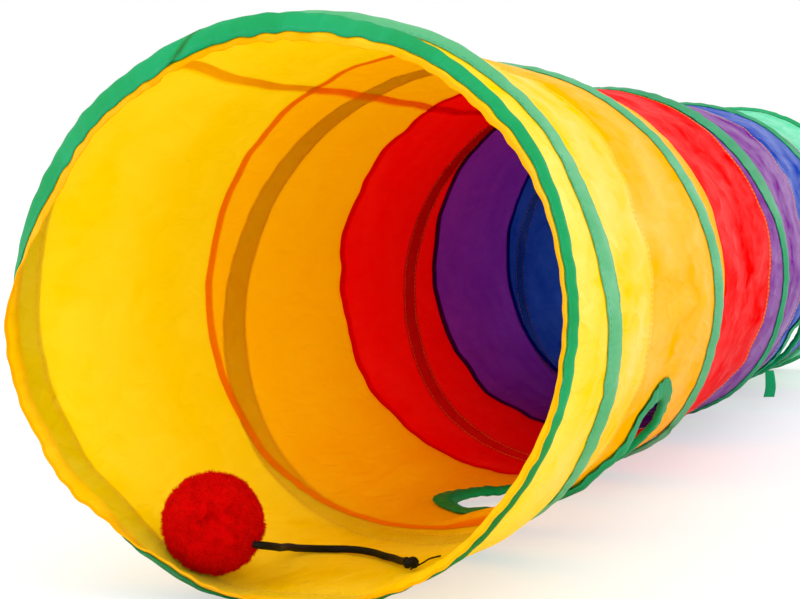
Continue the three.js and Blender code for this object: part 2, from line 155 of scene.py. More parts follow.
# %% Floor, sky and lamps
FLOOR_REACH = 40.0
FLOOR_CORNERS = [(-1, -1, 0), (1, -1, 0), (1, 1, 0), (-1, 1, 0)]
PAPER_SHARE = 0.55
SKY_STRENGTH = 1.0
LAMPS = [
    # name, kind, place, aim, size in metres or degrees, power
    ("top_light", "SUN", (0.5, -0.6, 3.0), (0.0, 0.0, 0.1), 60.0, 0.9),
    ("left_light", "SUN", (-2.0, -1.6, 1.2), (0.0, 0.0, 0.1), 60.0, 0.7),
    ("front_right", "SUN", (1.1, -2.4, 1.0), (0.0, 0.0, 0.1), 50.0, 0.75),
    ("box_behind", "AREA", (1.5, 2.6, 0.9), (0.1, -0.2, 0.15), 1.4, 14.0),
]

sky = bpy.data.worlds.new("white_sky")
sky.use_nodes = True
sky.node_tree.nodes.clear()
glow = new_node(sky.node_tree, "ShaderNodeBackground", {"Color": linear("ffffff"), "Strength": SKY_STRENGTH})
new_node(sky.node_tree, "ShaderNodeOutputWorld", {"Surface": glow.outputs[0]})
scene.world = sky
scene.view_settings.view_transform = "Standard"

floor_material, tree = new_material("pale_floor")
paint = new_node(tree, "ShaderNodeBsdfPrincipled", {"Base Color": linear("fbfbfb"), "Roughness": 0.75})
paper = new_node(tree, "ShaderNodeEmission", {"Color": linear("ffffff"), "Strength": 1.0})
seen = new_node(tree, "ShaderNodeLightPath").outputs["Is Camera Ray"]
share = maths(tree, "MULTIPLY", seen, PAPER_SHARE)
show(tree, new_node(tree, "ShaderNodeMixShader", {0: share, 1: paint.outputs[0], 2: paper.outputs[0]}))
floor_mesh = bpy.data.meshes.new("pale_floor")
floor_mesh.from_pydata([FLOOR_REACH * Vector(corner) for corner in FLOOR_CORNERS], [], [(0, 1, 2, 3)])
floor_mesh.materials.append(floor_material)
floor = bpy.data.objects.new("pale_floor", floor_mesh)
scene.collection.objects.link(floor)

for name, kind, place, target, size, power in LAMPS:
    lamp = bpy.data.lights.new(name, kind)
    lamp.energy = power
    if kind == "SUN":
        lamp.angle = math.radians(size)
    else:
        lamp.size = size
    holder = bpy.data.objects.new(name, lamp)
    holder.location = place
    holder.rotation_euler = (Vector(target) - Vector(place)).to_track_quat("-Z", "Y").to_euler()
    scene.collection.objects.link(holder)
print("light:", len(LAMPS), "lamps and a sky of strength", SKY_STRENGTH)

# %% [markdown]
# ## Meshes from grids
# Cloth, tape and cord are all strips: rows of points with the same count in each. A grid
# of points becomes a mesh of quads in one go, much faster than adding faces one at a time.
# Each corner also gets its place on the flat cloth, in metres, as a UV map, so that a weave
# follows the cloth and not the room.

# %% Helpers that turn grids of points into objects
CLOTH_MAP = "cloth"


def in_frame(points):
    """Millimetre places about the tunnel's axis, as metres in the frame, whose middle is beside it."""
    return (points + np.array([CENTRING, 0, 0])) * MM


def add_object(name, points, faces, flat=None, marks=None):
    """A smooth mesh object from millimetre points. flat has a place on the cloth for each corner."""
    used, places = np.unique(np.concatenate([f.ravel() for f in faces]), return_inverse=True)
    mesh = bpy.data.meshes.new(name)
    counts = np.cumsum([0] + [f.size for f in faces])
    lists = []
    for f, start, end in zip(faces, counts[:-1], counts[1:]):
        lists += places[start:end].reshape(f.shape).tolist()
    mesh.from_pydata(in_frame(points[used]).tolist(), [], lists)
    if flat is not None:
        mesh.uv_layers.new(name=CLOTH_MAP).data.foreach_set("uv", (flat * MM).ravel())
    for mark, values in (marks or {}).items():
        mesh.attributes.new(mark, "FLOAT", "POINT").data.foreach_set("value", values[used])
    mesh.polygons.foreach_set("use_smooth", np.ones(len(mesh.polygons), dtype=bool))
    made = bpy.data.objects.new(name, mesh)
    scene.collection.objects.link(made)
    return made


def grid_faces(rows, columns, closed_rows=False, closed_columns=False, keep=None):
    """Quads of a grid, and the row and column of each corner, counted on past a closed end."""
    i, j = np.meshgrid(
        np.arange(rows if closed_rows else rows - 1),
        np.arange(columns if closed_columns else columns - 1),
        indexing="ij",
    )
    if keep is not None:
        i, j = i[keep], j[keep]
    corner_rows = np.stack([i, i, i + 1, i + 1], axis=-1).reshape(-1, 4)
    corner_columns = np.stack([j, j + 1, j + 1, j], axis=-1).reshape(-1, 4)
    return (corner_rows % rows) * columns + corner_columns % columns, corner_rows, corner_columns


def add_tube(name, points, row_step, column_step):
    """A tube from rows of points, with a flat cap on each end. The steps are its size as flat cloth."""
    rows, sides = points.shape[:2]
    faces, corner_rows, corner_columns = grid_faces(rows, sides, closed_columns=True)
    flat = np.stack([corner_rows * row_step, corner_columns * column_step], axis=-1).reshape(-1, 2)
    caps = [np.arange(sides)[None, ::-1], (rows - 1) * sides + np.arange(sides)[None, :]]
    caps_flat = np.zeros((2 * sides, 2))
    return add_object(name, points.reshape(-1, 3), [faces, *caps], np.vstack([flat, caps_flat]))


def triangles_of(made):
    return sum(len(p.vertices) - 2 for p in made.data.polygons)


print("a grid of 3 by 4 points has", len(grid_faces(3, 4)[0]), "quads")

# %% [markdown]
# ## The cord
# A limp elastic cord leaves a knot in the cloth, makes a loose bend on the tunnel's floor
# and goes into the pompom. A curve object would draw the same bend, but its points are needed
# again for the braid, the knot and the pompom. So a few places are listed, and
# a smooth line is worked out through them.

# %% Route of the cord
CORD_ROUTE = np.array([
    # x, y, z in millimetres, from the knot to the pompom
    (33, -524, 10.7), (29, -517, 9.5), (24, -510, 8.4), (18, -502, 7.7), (11, -495, 7.1),
    (4, -489, 7.1), (-4, -485, 7.1), (-12, -484, 7.1), (-19, -488, 7.5), (-24, -494, 8.4),
    (-27, -502, 9.8), (-28, -511, 11.5), (-28, -521, 13.8), (-27, -531, 15.4), (-23, -545, 18),
    (-19.8, -556, 20.4), (-19.6, -566, 22.6), (-23.4, -572, 24.3), (-30.4, -571.8, 27),
])
CORD_STEP = 0.45


def smooth_line(corners, step):
    """A smooth line through the corners, with points about a step apart."""
    ends = np.vstack([2 * corners[0] - corners[1], corners, 2 * corners[-1] - corners[-2]])
    line = []
    for before, start, end, after in zip(ends[:-3], ends[1:-2], ends[2:-1], ends[3:]):
        count = max(2, round(np.linalg.norm(end - start) / step))
        t = np.arange(count)[:, None] / count
        bend = 2 * before - 5 * start + 4 * end - after
        twist = -before + 3 * start - 3 * end + after
        line.append(0.5 * (2 * start + (end - before) * t + bend * t**2 + twist * t**3))
    return np.vstack([*line, corners[-1:]])


def length_along(line):
    return np.concatenate([[0], np.cumsum(np.linalg.norm(np.diff(line, axis=0), axis=1))])


cord_line = smooth_line(CORD_ROUTE, CORD_STEP)

# %% [markdown]
# ## The braid
# Elastic has a braided cover. Its strands wind both ways, six in each, over and under each other.
# A bevelled curve would do for a plain rubber lead. Here a tube is swept along the route, and its
# surface is raised in two crossing spirals.

# %% Braided cord
CORD_DIAMETER = 3.6
CORD_SIDES = 24
CORD_SIDE = math.pi * CORD_DIAMETER / CORD_SIDES
BRAID_PITCH = 7.0
BRAID_STRANDS = 6
BRAID_RELIEF = 0.16
BRAID_MIDDLE = 0.7
FIRST_SIDE = (0.2, 0.3, 1.0)


def carried_frames(line, first):
    """A sideways and an upright direction at each point of a line, turning as little as they can."""
    ahead = np.gradient(line, axis=0)
    ahead /= np.linalg.norm(ahead, axis=1)[:, None]
    sides = []
    side = np.asarray(first, dtype=float)
    for way in ahead:
        side = side - way * (side @ way)
        side /= np.linalg.norm(side)
        sides.append(side)
    sides = np.array(sides)
    return sides, np.cross(ahead, sides)


def braided_tube(line, diameter, sides):
    """Points of a tube of crossing strands along a line, a row for each point of the line."""
    across, upright = carried_frames(line, FIRST_SIDE)
    run = 2 * np.pi * length_along(line)[:, None] / BRAID_PITCH
    turn = 2 * np.pi * np.arange(sides)[None, :] / sides
    left = np.abs(np.sin(BRAID_STRANDS / 2 * (turn + run)))
    right = np.abs(np.sin(BRAID_STRANDS / 2 * (turn - run)))
    over = np.sin(BRAID_STRANDS * turn) * np.sin(BRAID_STRANDS * run)
    relief = np.where(over > 0, left, right) - BRAID_MIDDLE
    radius = (diameter / 2 + BRAID_RELIEF * relief * diameter / CORD_DIAMETER)[..., None]
    round_way = np.cos(turn)[..., None] * across[:, None] + np.sin(turn)[..., None] * upright[:, None]
    return line[:, None] + radius * round_way


cord = add_tube("elastic_cord", braided_tube(cord_line, CORD_DIAMETER, CORD_SIDES), CORD_STEP, CORD_SIDE)
print("braided cord:", triangles_of(cord), "triangles")

# %% [markdown]
# ## The knot
# The cord is stopped by a knot in its own end. The trefoil, a closed loop that passes over
# and under itself three times, looks just like a pulled-up overhand knot, and it is one line of sines.

# %% Knot at the cord's start
KNOT_SIZE = 0.78
KNOT_POINTS = 150
KNOT_REACH = 4.5

first_way = cord_line[0] - cord_line[1]
first_way /= np.linalg.norm(first_way)
knot_centre = cord_line[0] + KNOT_REACH * first_way
t = 2 * np.pi * np.arange(KNOT_POINTS + 1) / KNOT_POINTS
trefoil = np.stack([np.sin(t) + 2 * np.sin(2 * t), np.cos(t) - 2 * np.cos(2 * t), -np.sin(3 * t)], axis=1)
knot_line = knot_centre + KNOT_SIZE * trefoil
knot_points = braided_tube(knot_line, CORD_DIAMETER, CORD_SIDES)[:-1]
faces, rows, columns = grid_faces(KNOT_POINTS, CORD_SIDES, closed_rows=True, closed_columns=True)
knot_flat = np.stack([rows * CORD_STEP, columns * CORD_SIDE], axis=-1)
knot = add_object("cord_end_knot", knot_points.reshape(-1, 3), [faces], knot_flat.reshape(-1, 2))
print("knot:", triangles_of(knot), "triangles at", knot_centre.round(1))

# %% [markdown]
# ## Soft steps and waves
# Every place on the tunnel is a depth, in millimetres from the front hem, and an angle,
# in degrees from the top. Cloth and tape change along both without a sharp step, and a seam that
# is sewn by eye wanders. Curves drawn by hand could say so, but a short table is easier to read and
# to change. These helpers make soft steps and waves of such tables, for whole arrays of places.

# %% Helpers for angles, steps and ripples


def sin_deg(angle):
    return np.sin(np.radians(angle))


def cos_deg(angle):
    return np.cos(np.radians(angle))


def turn_from(start, angle):
    """Degrees from a start to an angle the short way round, from -180 to 180."""
    return (angle - start + 180) % 360 - 180


def ramp(value, low, high):
    """0 below low, 1 above high and a soft rise between."""
    t = np.clip((value - low) / (high - low), 0, 1)
    return t * t * (3 - 2 * t)


def between(value, stretch):
    """1 inside a stretch and 0 outside. A stretch says where it starts, is full, eases and ends."""
    start, full, eases, end = stretch
    return ramp(value, start, full) * (1 - ramp(value, eases, end))


def eased(table, place):
    """A value from a table of places and values, eased from each row to the next."""
    places, values = np.array(table).T
    row = np.clip(np.searchsorted(places, place, side="right") - 1, 0, len(places) - 2)
    return values[row] + (values[row + 1] - values[row]) * ramp(place, places[row], places[row + 1])


def ripples(rows, place):
    """A sum of sines. A row has waves in each turn, their height and where they start."""
    return sum(height * sin_deg(waves * place + start) for waves, height, start in rows)


print("a soft step has risen by", ramp(0.25, 0, 1), "a quarter of the way along")

# %% [markdown]
# ## Where the wires run
# A ring of wire holds out each mouth, and one spring is wound between them. A helix would be too
# regular, because a spring that is sewn in by hand strays along the tunnel. So its depth is a
# helix plus a short table of strays. The cloth then only asks how far it lies between two wires.

# %% Rings and coil
TUNNEL_LENGTH = (cad_high[1] - cad_low[1]) / MM
RING_DEPTH = 14.5
RING_TILT = 3.5
RING_TILT_ANGLE = 335.0
END_RING_DEPTH = TUNNEL_LENGTH - 14.0
COIL_INSET = 38.5
COIL_TURNS = 3.8
COIL_LEAD = -18.1
COIL_START = 18.0
COIL_END = COIL_START + 360 * COIL_TURNS
COIL_PITCH = (TUNNEL_LENGTH - 2 * COIL_INSET) / COIL_TURNS
COIL_STRAYS = [
    # angle that the coil has wound through, how far it strays along the tunnel there
    (-18.1, -4.4), (0, -3.6), (18, 0.0), (81, 2.0), (287, -5.0), (443, -14.0), (648, 10.0), (803, -26.0),
    (1007, 8.0), (1200, 0.0), (1386, 0.0),
]


def front_ring(angle):
    return RING_DEPTH - RING_TILT * cos_deg(angle - RING_TILT_ANGLE)


def end_ring(angle):
    return np.full_like(np.asarray(angle, dtype=float), END_RING_DEPTH)


def coil(unwound):
    wound = np.maximum(0, unwound - COIL_START)
    return COIL_INSET + COIL_PITCH * wound / 360 + eased(COIL_STRAYS, unwound)


def coil_crossings(angle):
    """Depth of each turn of the coil at an angle, with the unwound angle and whether tape is there."""
    for turn in range(-1, math.ceil(COIL_END / 360)):
        unwound = angle % 360 + 360 * turn
        yield coil(unwound), unwound, (unwound >= COIL_LEAD) & (unwound <= COIL_END)


def held_span(depth, angle):
    """How far along a depth lies between the two nearest wires, from 0 to 1, and how far apart they are."""
    before, after = front_ring(angle), end_ring(angle)
    for wire, _, there in coil_crossings(angle):
        before = np.where(there & (wire <= depth), np.maximum(before, wire), before)
        after = np.where(there & (wire > depth), np.minimum(after, wire), after)
    span = after - before
    return np.clip((depth - before) / span, 0, 1), span


print("coil: a turn every", round(COIL_PITCH), "mm, from", round(COIL_INSET), "mm behind the front hem")

# %% [markdown]
# ## The form of the cloth
# The radius of the tube follows the spring: the cloth is held out at each turn of wire, draws
# in between two turns, flares at the mouths, and bellies out low down where the floor flattens it.
# The mouth's ring is bent out of true, and the hem in front of it is drawn in unevenly. This is the
# form of the solids, with the mouth bent a little further.

# %% Radius of the tube at any depth and angle
CLOTH_RADIUS = 125.0
RING_WIDTH = 17.0
RING_BENDS = [
    # angle round the mouth, how far the ring stands out of true there
    (0, 1.0), (15, 1.0), (30, 2.0), (50, 1.5), (80, -3.0), (100, -5.0), (130, -8.0), (150, -6.0),
    (180, -2.0), (198, -2.5), (212, -4.8), (222, -6.6), (226, -6.5), (240, -1.5), (256, 3.5), (275, 4.5),
    (290, 4.0), (305, 2.5), (330, 1.0), (345, 1.2), (360, 1.0),
]
RING_BEND_REACH = 25.0
TOP_BULGES = [
    # angle, how far the cloth behind the front ring stands out there, where the coil springs open
    (0, 7.5), (25, 7.5), (45, 5.5), (70, 0.5), (85, 0.0), (290, 0.0), (325, 4.0), (345, 6.2), (360, 7.5),
]
BULGE_DEPTHS = (8.0, 58.0, 110.0, 420.0)
LAY_GAP = 0.5
TAPE_TURN = 10.0
TAPE_TURN_ANGLES = (264, 300, 318, 440)
HEM_DRAWS = [
    # angle round the mouth, how far the hem is drawn in there
    (0, 0.5), (45, 0.5), (90, -2.5), (150, -2.5), (180, 4.0), (205, 5.0), (220, 1.0), (230, -2.5),
    (262, -2.0), (288, 0.5), (360, 0.5),
]
HEM_RIPPLES = [(5, 0.6, 40), (9, 0.4, 0)]
BACK_HEM_DRAW = 5.0
WAIST = 3.0
FLARE = 5.0
FLARE_REACH = 40.0
BELLY = 2.0
BELLY_ANGLE = 45.0
BELLY_SPREAD = 20.0


def tape_turn(depth, angle):
    """High on the left the cloth in front of the wire turns in, and its tape faces forward."""
    at = angle % 360
    at = np.where(at < 180, at + 360, at)
    return TAPE_TURN * between(at, TAPE_TURN_ANGLES) * np.clip(1 - depth / front_ring(angle), 0, 1)


def hem_draw(depth, angle):
    """How far the hems are drawn in, from nothing at the tape to all of it at the mouth."""
    draw = eased(HEM_DRAWS, angle % 360) + ripples(HEM_RIPPLES, angle)
    front = front_ring(angle) - RING_WIDTH / 2 - LAY_GAP
    back = END_RING_DEPTH + RING_WIDTH / 2 + LAY_GAP
    at_back = BACK_HEM_DRAW * np.clip((depth - back) / (TUNNEL_LENGTH - back), 0, 1)
    return draw * np.clip(1 - depth / front, 0, 1) + at_back


def tube_radius(depth, angle):
    share, span = held_span(depth, angle)
    waist = WAIST * (span / COIL_PITCH) ** 2 * np.sin(np.pi * share) ** 2
    from_ring = np.minimum(np.abs(depth - RING_DEPTH), np.abs(END_RING_DEPTH - depth))
    flare = FLARE * np.exp(-0.5 * (from_ring / FLARE_REACH) ** 2)
    belly = BELLY * np.exp(-(((np.abs(angle % 360 - 180) - BELLY_ANGLE) / BELLY_SPREAD) ** 2))
    bend = eased(RING_BENDS, angle % 360) * np.exp(-0.5 * ((depth - RING_DEPTH) / RING_BEND_REACH) ** 2)
    bulge = eased(TOP_BULGES, angle % 360) * between(depth, BULGE_DEPTHS)
    drawn_in = waist + tape_turn(depth, angle) + hem_draw(depth, angle)
    return CLOTH_RADIUS + flare + bend + bulge + belly - drawn_in


middle_radius = tube_radius(np.full(360, 300.0), np.arange(360.0))
print("radius at 300 mm:", middle_radius.min().round(1), "to", middle_radius.max().round(1), "mm")

# %% [markdown]
# ## Creases
# Packing the tunnel flat leaves creases in the taffeta, and in a few broader places it swells or
# dips. Noise would spread them evenly over the cloth. Each is placed on its own instead, as a
# line with a width and a height, which bows a little and fades out at both ends.

# %% Creases placed one by one
ARC_DEGREE = math.radians(1) * CLOTH_RADIUS
CREASES = [
    # depth and angle at each end, width, height
    (212, 99, 295, 91, 5.0, 1.0), (53, 107, 85, 98, 5.0, 0.9), (158, 95, 180, 89, 4.0, 0.7),
    (448, 52, 537, 52, 5.0, -1.0), (470, 60, 500, 78, 5.0, 0.9), (266, 99, 320, 96, 4.0, -0.8),
    (300, 62, 350, 78, 6.0, 0.9), (250, 45, 290, 70, 7.0, -0.9), (330, 84, 372, 104, 6.0, 0.8),
    (100, 60, 150, 84, 7.0, 0.7), (70, 72, 120, 92, 6.0, -0.6), (690, 57, 780, 37, 6.0, 1.0),
    (130, 312, 121, 319, 5.0, 0.7), (75, 265, 97, 271, 5.0, 0.6), (35, 272, 58, 285, 6.0, -0.6),
    (209, 305, 233, 319, 5.0, 0.6), (452, 296, 505, 311, 6.0, 0.8), (688, 284, 713, 303, 5.0, 0.8),
    (640, 280, 720, 296, 4.0, -0.7), (56, 254, 100, 242, 6.0, 0.7), (90, 236, 150, 228, 6.0, -0.6),
    (820, 60, 870, 84, 6.0, 0.9), (1040, 30, 1110, 52, 7.0, 1.0), (900, 300, 960, 320, 6.0, 0.8),
    (620, 120, 680, 104, 6.0, -0.8), (1060, 250, 1120, 268, 7.0, 0.9), (740, 210, 800, 196, 6.0, 0.7),
    (217, 146, 217, 176, 8.0, -6.0), (250, 126, 236, 148, 9.0, 4.0), (45, 138, 130, 133, 28.0, 3.4),
    (352, 100, 330, 112, 3.0, 0.9), (318, 96, 344, 88, 3.0, -0.7), (286, 76, 322, 70, 3.5, 0.7),
    (262, 84, 300, 80, 3.0, 0.6), (420, 70, 452, 64, 3.5, 0.8), (468, 96, 520, 88, 4.0, 0.9),
    (455, 108, 500, 100, 4.0, -0.7), (88, 110, 112, 101, 3.0, 0.6), (640, 24, 940, 26, 45.0, 3.0),
]
CREASE_BOW = 0.08
CREASE_SHARES = (-0.25, 0.3, 0.6, 1.25)


def crease(depth, angle, row):
    """A soft ridge or trough along a line on the cloth, fading out at both ends."""
    depth_a, angle_a, depth_b, angle_b, width, height = row
    across = turn_from(angle_a, angle) * ARC_DEGREE
    way = np.array([depth_b - depth_a, (angle_b - angle_a) * ARC_DEGREE])
    length = np.linalg.norm(way)
    way /= length
    along = (depth - depth_a) * way[0] + across * way[1]
    off = (depth - depth_a) * way[1] - across * way[0]
    off = off + CREASE_BOW * length * np.sin(np.pi * along / length)
    return height * between(along / length, CREASE_SHARES) * np.exp(-((off / width) ** 2))


print("creases:", len(CREASES), "placed by hand")

# %% [markdown]
# ## Wrinkles
# Stretched taffeta is never smooth. The tape casing is a little shorter than the cloth that it
# is sewn to, so small puckers start at its edges, and the hems are gathered. Between the wires the
# pull makes long, faint folds that lean along the tunnel. One noise would wrinkle it all alike, so
# the puckers are tied to the wires, and the long folds are largest half way between them.

# %% Puckers and long folds
PUCKER_HEIGHT = 0.2
PUCKER_REACH = 15.0
PUCKERS = (74, 51)
PUCKER_BEATS = 5
PUCKER_SWELL = 0.35
FEWER_PUCKERS_SHARE = 0.7
GATHER_HEIGHT = 0.3
GATHER_REACH = 7.0
GATHERS = 66
GATHER_SWAYS = [(7, 40, 0)]
END_RING_SHIFT = 31
FOLDS_AT_WIRE = 0.18
LONG_FOLDS = [
    # folds round the tube, length along it for one lean, height, start
    (7, 620, 0.75, 10), (10, -410, 0.6, 200), (15, 330, 0.5, 75), (22, -520, 0.38, 310),
    (31, 450, 0.26, 150), (44, -700, 0.17, 40), (61, 560, 0.1, 260),
]


def puckered(angle, turn):
    """Uneven small gathers round the tube, as many whole ones as fit, so that the ends meet."""
    beat = 1 - PUCKER_SWELL + PUCKER_SWELL * sin_deg(PUCKER_BEATS * angle + 70 * turn)
    many = beat * sin_deg(PUCKERS[0] * angle + 50 * turn)
    return many + FEWER_PUCKERS_SHARE * sin_deg(PUCKERS[1] * angle + 130 * turn)


def wrinkles(depth, angle):
    share, span = held_span(depth, angle)
    loose = np.sin(np.pi * share) ** 2 * np.clip(span / COIL_PITCH, 0, 1)
    folds = sum(h * sin_deg(n * angle + 360 * depth / run + start) for n, run, h, start in LONG_FOLDS)
    height = (FOLDS_AT_WIRE + (1 - FOLDS_AT_WIRE) * loose) * folds
    rings = [(front_ring(angle), angle, True), (end_ring(angle), angle + END_RING_SHIFT, True)]
    for turn, (wire, round_way, there) in enumerate([*rings, *coil_crossings(angle)]):
        near = np.exp(-np.abs(depth - wire) / PUCKER_REACH)
        height = height + np.where(there, PUCKER_HEIGHT * near * puckered(round_way, turn), 0)
    mouth = np.exp(-np.maximum(depth, 0) / GATHER_REACH) + np.exp((depth - TUNNEL_LENGTH) / GATHER_REACH)
    height = height + GATHER_HEIGHT * mouth * sin_deg(GATHERS * angle + ripples(GATHER_SWAYS, angle))
    for row in CREASES:
        height = height + crease(depth, angle, row)
    return height


heights = wrinkles(*np.meshgrid(np.arange(60.0, 1140.0, 20.0), np.arange(360.0)))
print("wrinkles:", heights.min().round(2), "to", heights.max().round(2), "mm")

# %% [markdown]
# ## Onto the floor
# A round tube would touch the floor along one line. The real one sags until its casing lies flat.
# Cutting the bottom off would leave a hard edge, so low points are pushed up with a soft
# maximum, which rounds the turn from the flat underside to the side.

# %% Places on the cloth
AXIS_HEIGHT = 127.0
CASING_HEIGHT = 2.8
FLOOR_BLEND = 1.0


def cloth_point(depth, angle, lift):
    """Places on the wrinkled cloth, lifted off its outer face. The floor flattens the underside."""
    depth, angle, lift = np.broadcast_arrays(*(np.asarray(v, dtype=float) for v in (depth, angle, lift)))
    radius = tube_radius(depth, angle) + wrinkles(depth, angle) + lift
    over = AXIS_HEIGHT + radius * cos_deg(angle) - (CASING_HEIGHT - lift)
    height = CASING_HEIGHT - lift + 0.5 * (over + np.sqrt(over**2 + FLOOR_BLEND**2))
    return np.stack([radius * sin_deg(angle), depth - TUNNEL_LENGTH / 2, height], axis=-1)


print("top of the cloth at 300 mm:", cloth_point(300, 0, 0)[2].round(1), "mm above the floor")

# %% [markdown]
# ## Rows of a panel
# Each colour is one rectangle of cloth. Its long edges are lapped and sewn into the lengthwise
# seam, high on the left, and its short edges lap its neighbours by a seam's width. At the two
# mouths the cloth is turned back inside as a hem. A solid wall would hide the best thing about
# this cloth, its glow, so a panel is a single thin layer, and a lap is really two layers.
# A row of points is a depth with a lift, the layers that light has to pass, and a deeper tint, which is
# doubled cloth, and along the hem's fold partly painted shade.

# %% Rows with laps and hems
PANELS = [
    # name, hem, hole
    ("yellow", "front", False),
    ("orange", None, True),
    ("red", None, False),
    ("purple", None, False),
    ("blue", None, True),
    ("green", "back", False),
]
PANEL_LENGTH = TUNNEL_LENGTH / len(PANELS)
LAP = 9.0
LAP_EDGE = 1.0
LAP_SLOPE = 4.0
LAP_DROP = 0.45
LAP_TINT = 1.9
HEM_WIDTH = 9.0
HEM_TURN = 1.3
HEM_FOLD = 1.4
HEM_TINT = 0.35
HEM_ROWS = 4
HEM_ROLL = [
    # depth, drop as a share of the hem's turn, layers
    (0.5, 0.95, 1.0), (0.0, 0.75, 1.0), (-0.25, 0.5, 0.8), (0.0, 0.25, 0.3), (0.5, 0.05, 0.1),
]
# Along the hem's roll the colour is deeper: partly its doubled cloth, partly painted shade of the roll.
FOLD_TINT_AND_SHADE = 2.0
FOLD_FADE = (2.0, 5.0)
ROW_STEP = 2.3


def hem_rows():
    """Rows that roll a hem back inside, from its hidden edge to the fold: depth, lift, layers, tint."""
    inside = [(depth, -HEM_TURN, 1.0, HEM_TINT) for depth in np.linspace(HEM_WIDTH, HEM_FOLD, HEM_ROWS)]
    roll = [(depth, -drop * HEM_TURN, layers, FOLD_TINT_AND_SHADE) for depth, drop, layers in HEM_ROLL]
    return np.array(inside + roll)


def panel_rows(index, hem):
    """Rows of a panel: depth, lift, layers, tint. A lap goes under the panel before, and shows inside."""
    start, end = PANEL_LENGTH * index, PANEL_LENGTH * (index + 1)
    first = HEM_FOLD if hem == "front" else start - LAP / 2
    last = TUNNEL_LENGTH - HEM_FOLD if hem == "back" else end + LAP / 2
    plain = np.linspace(first, last, round((last - first) / ROW_STEP))
    lap_start, lap_end = start + LAP / 2, end - LAP / 2
    in_front_lap = 1 - ramp(plain, lap_start, lap_start + LAP_EDGE)
    in_back_lap = ramp(plain, lap_end - LAP_EDGE, lap_end)
    drop = -LAP_DROP * (1 - ramp(plain, lap_start, lap_start + LAP_SLOPE))
    tint = LAP_TINT * in_front_lap
    if hem == "front":
        # The single cloth just behind the fold is deepened too: painted shade.
        fold = FOLD_TINT_AND_SHADE * (1 - ramp(plain, *FOLD_FADE))
        return np.vstack([hem_rows(), np.stack([plain, 0 * plain, in_back_lap, fold], axis=1)])
    if hem == "back":
        turned_back = hem_rows()[::-1]
        turned_back[:, 0] = TUNNEL_LENGTH - turned_back[:, 0]
        return np.vstack([np.stack([plain, drop, in_front_lap, tint], axis=1), turned_back])
    return np.stack([plain, drop, in_front_lap + in_back_lap, tint], axis=1)


for index, (name, hem, _) in enumerate(PANELS):
    print(f"{name} panel: {len(panel_rows(index, hem))} rows")

# %% [markdown]
# ## Ring seams and peepholes
# The ring seams were sewn by eye, so they stray, and the one behind the red panel is drawn well
# forward at the top right. A peephole could be cut with a boolean, which leaves ragged triangles. Here
# the faces inside the oval are left out, and the points beside them are moved onto its edge.

# %% Straying seams and oval holes
SEAM_STRAYS = {3: 2.4}
SEAM_SHIFTS = {3: -13.0}
SHIFT_ANGLES = (-10, 20, 48, 80)
HOLE_ANGLE = 151.0
HOLE_IN_PANEL = 86.0
HOLE_HALF_DEPTH = 53.0
HOLE_HALF_ARC = 69.0
HOLE_EDGE_REACH = 1.5
FAR_SIDE = 9.0


def seam_wave(angle, index):
    """A ring seam is sewn by eye, so it strays a little, and the same for both panels in it."""
    if index in (0, len(PANELS)):
        return ripples([(37, 0.4, 20 * index), (71, 0.3, 90)], angle)
    stray = ripples([(6, 0.8, 77 * index), (17, 0.55, 40 * index)], angle)
    shift = SEAM_SHIFTS.get(index, 0.0) * between(turn_from(0, angle), SHIFT_ANGLES)
    return SEAM_STRAYS.get(index, 1.0) * stray + shift


def hole_place(depth, angle, index):
    """Where a point lies in the peephole's oval: along, across, and how far out (1 is on its edge)."""
    along = depth - (PANEL_LENGTH * index + HOLE_IN_PANEL)
    turn = turn_from(HOLE_ANGLE, angle)
    across = CLOTH_RADIUS * np.where(np.abs(turn) < 90, sin_deg(turn), FAR_SIDE)
    return along, across, np.hypot(along / HOLE_HALF_DEPTH, across / HOLE_HALF_ARC)


def cut_hole(depth, angle, index):
    """The grid with the points beside the hole moved onto its edge, and the faces to keep."""
    along, across, out = hole_place(depth, angle, index)
    keep = 0.25 * (out[:-1, :-1] + out[1:, :-1] + out[:-1, 1:] + out[1:, 1:]) > 1
    beside = np.zeros(out.shape, dtype=int)
    for i, j in ((0, 0), (0, 1), (1, 0), (1, 1)):
        beside[i : i + keep.shape[0], j : j + keep.shape[1]] += keep
    edge = (beside > 0) & (beside < 4) & (out < HOLE_EDGE_REACH)
    moved = HOLE_ANGLE + np.degrees(np.arcsin(np.clip(across / out / CLOTH_RADIUS, -1, 1)))
    return np.where(edge, depth - along + along / out, depth), np.where(edge, moved, angle), keep


print("peepholes:", 2 * HOLE_HALF_DEPTH, "mm along the tunnel and", 2 * HOLE_HALF_ARC, "mm across")

# %% [markdown]
# ## Six panels
# The rows of a panel are swept round the tube, from one side of the lengthwise seam past the other,
# so that its ends lap there. A cloth simulation would fold more freely, but it would also carry the
# seams away from the wires. Each point keeps its layers and its tint for the material.

# %% Panels swept from seam to seam
SEAM_ANGLE = 330.5
SEAM_WIDTH = 5.5
SEAM_LEANS = [(360 / 170, 0.32, 0), (360 / 61, 0.18, 80)]
CLOTH_LIFT = -1.1
COLUMN_STEP = 2.15
SEAM_SLOPE = 1.5
SEAM_EDGE = 0.6


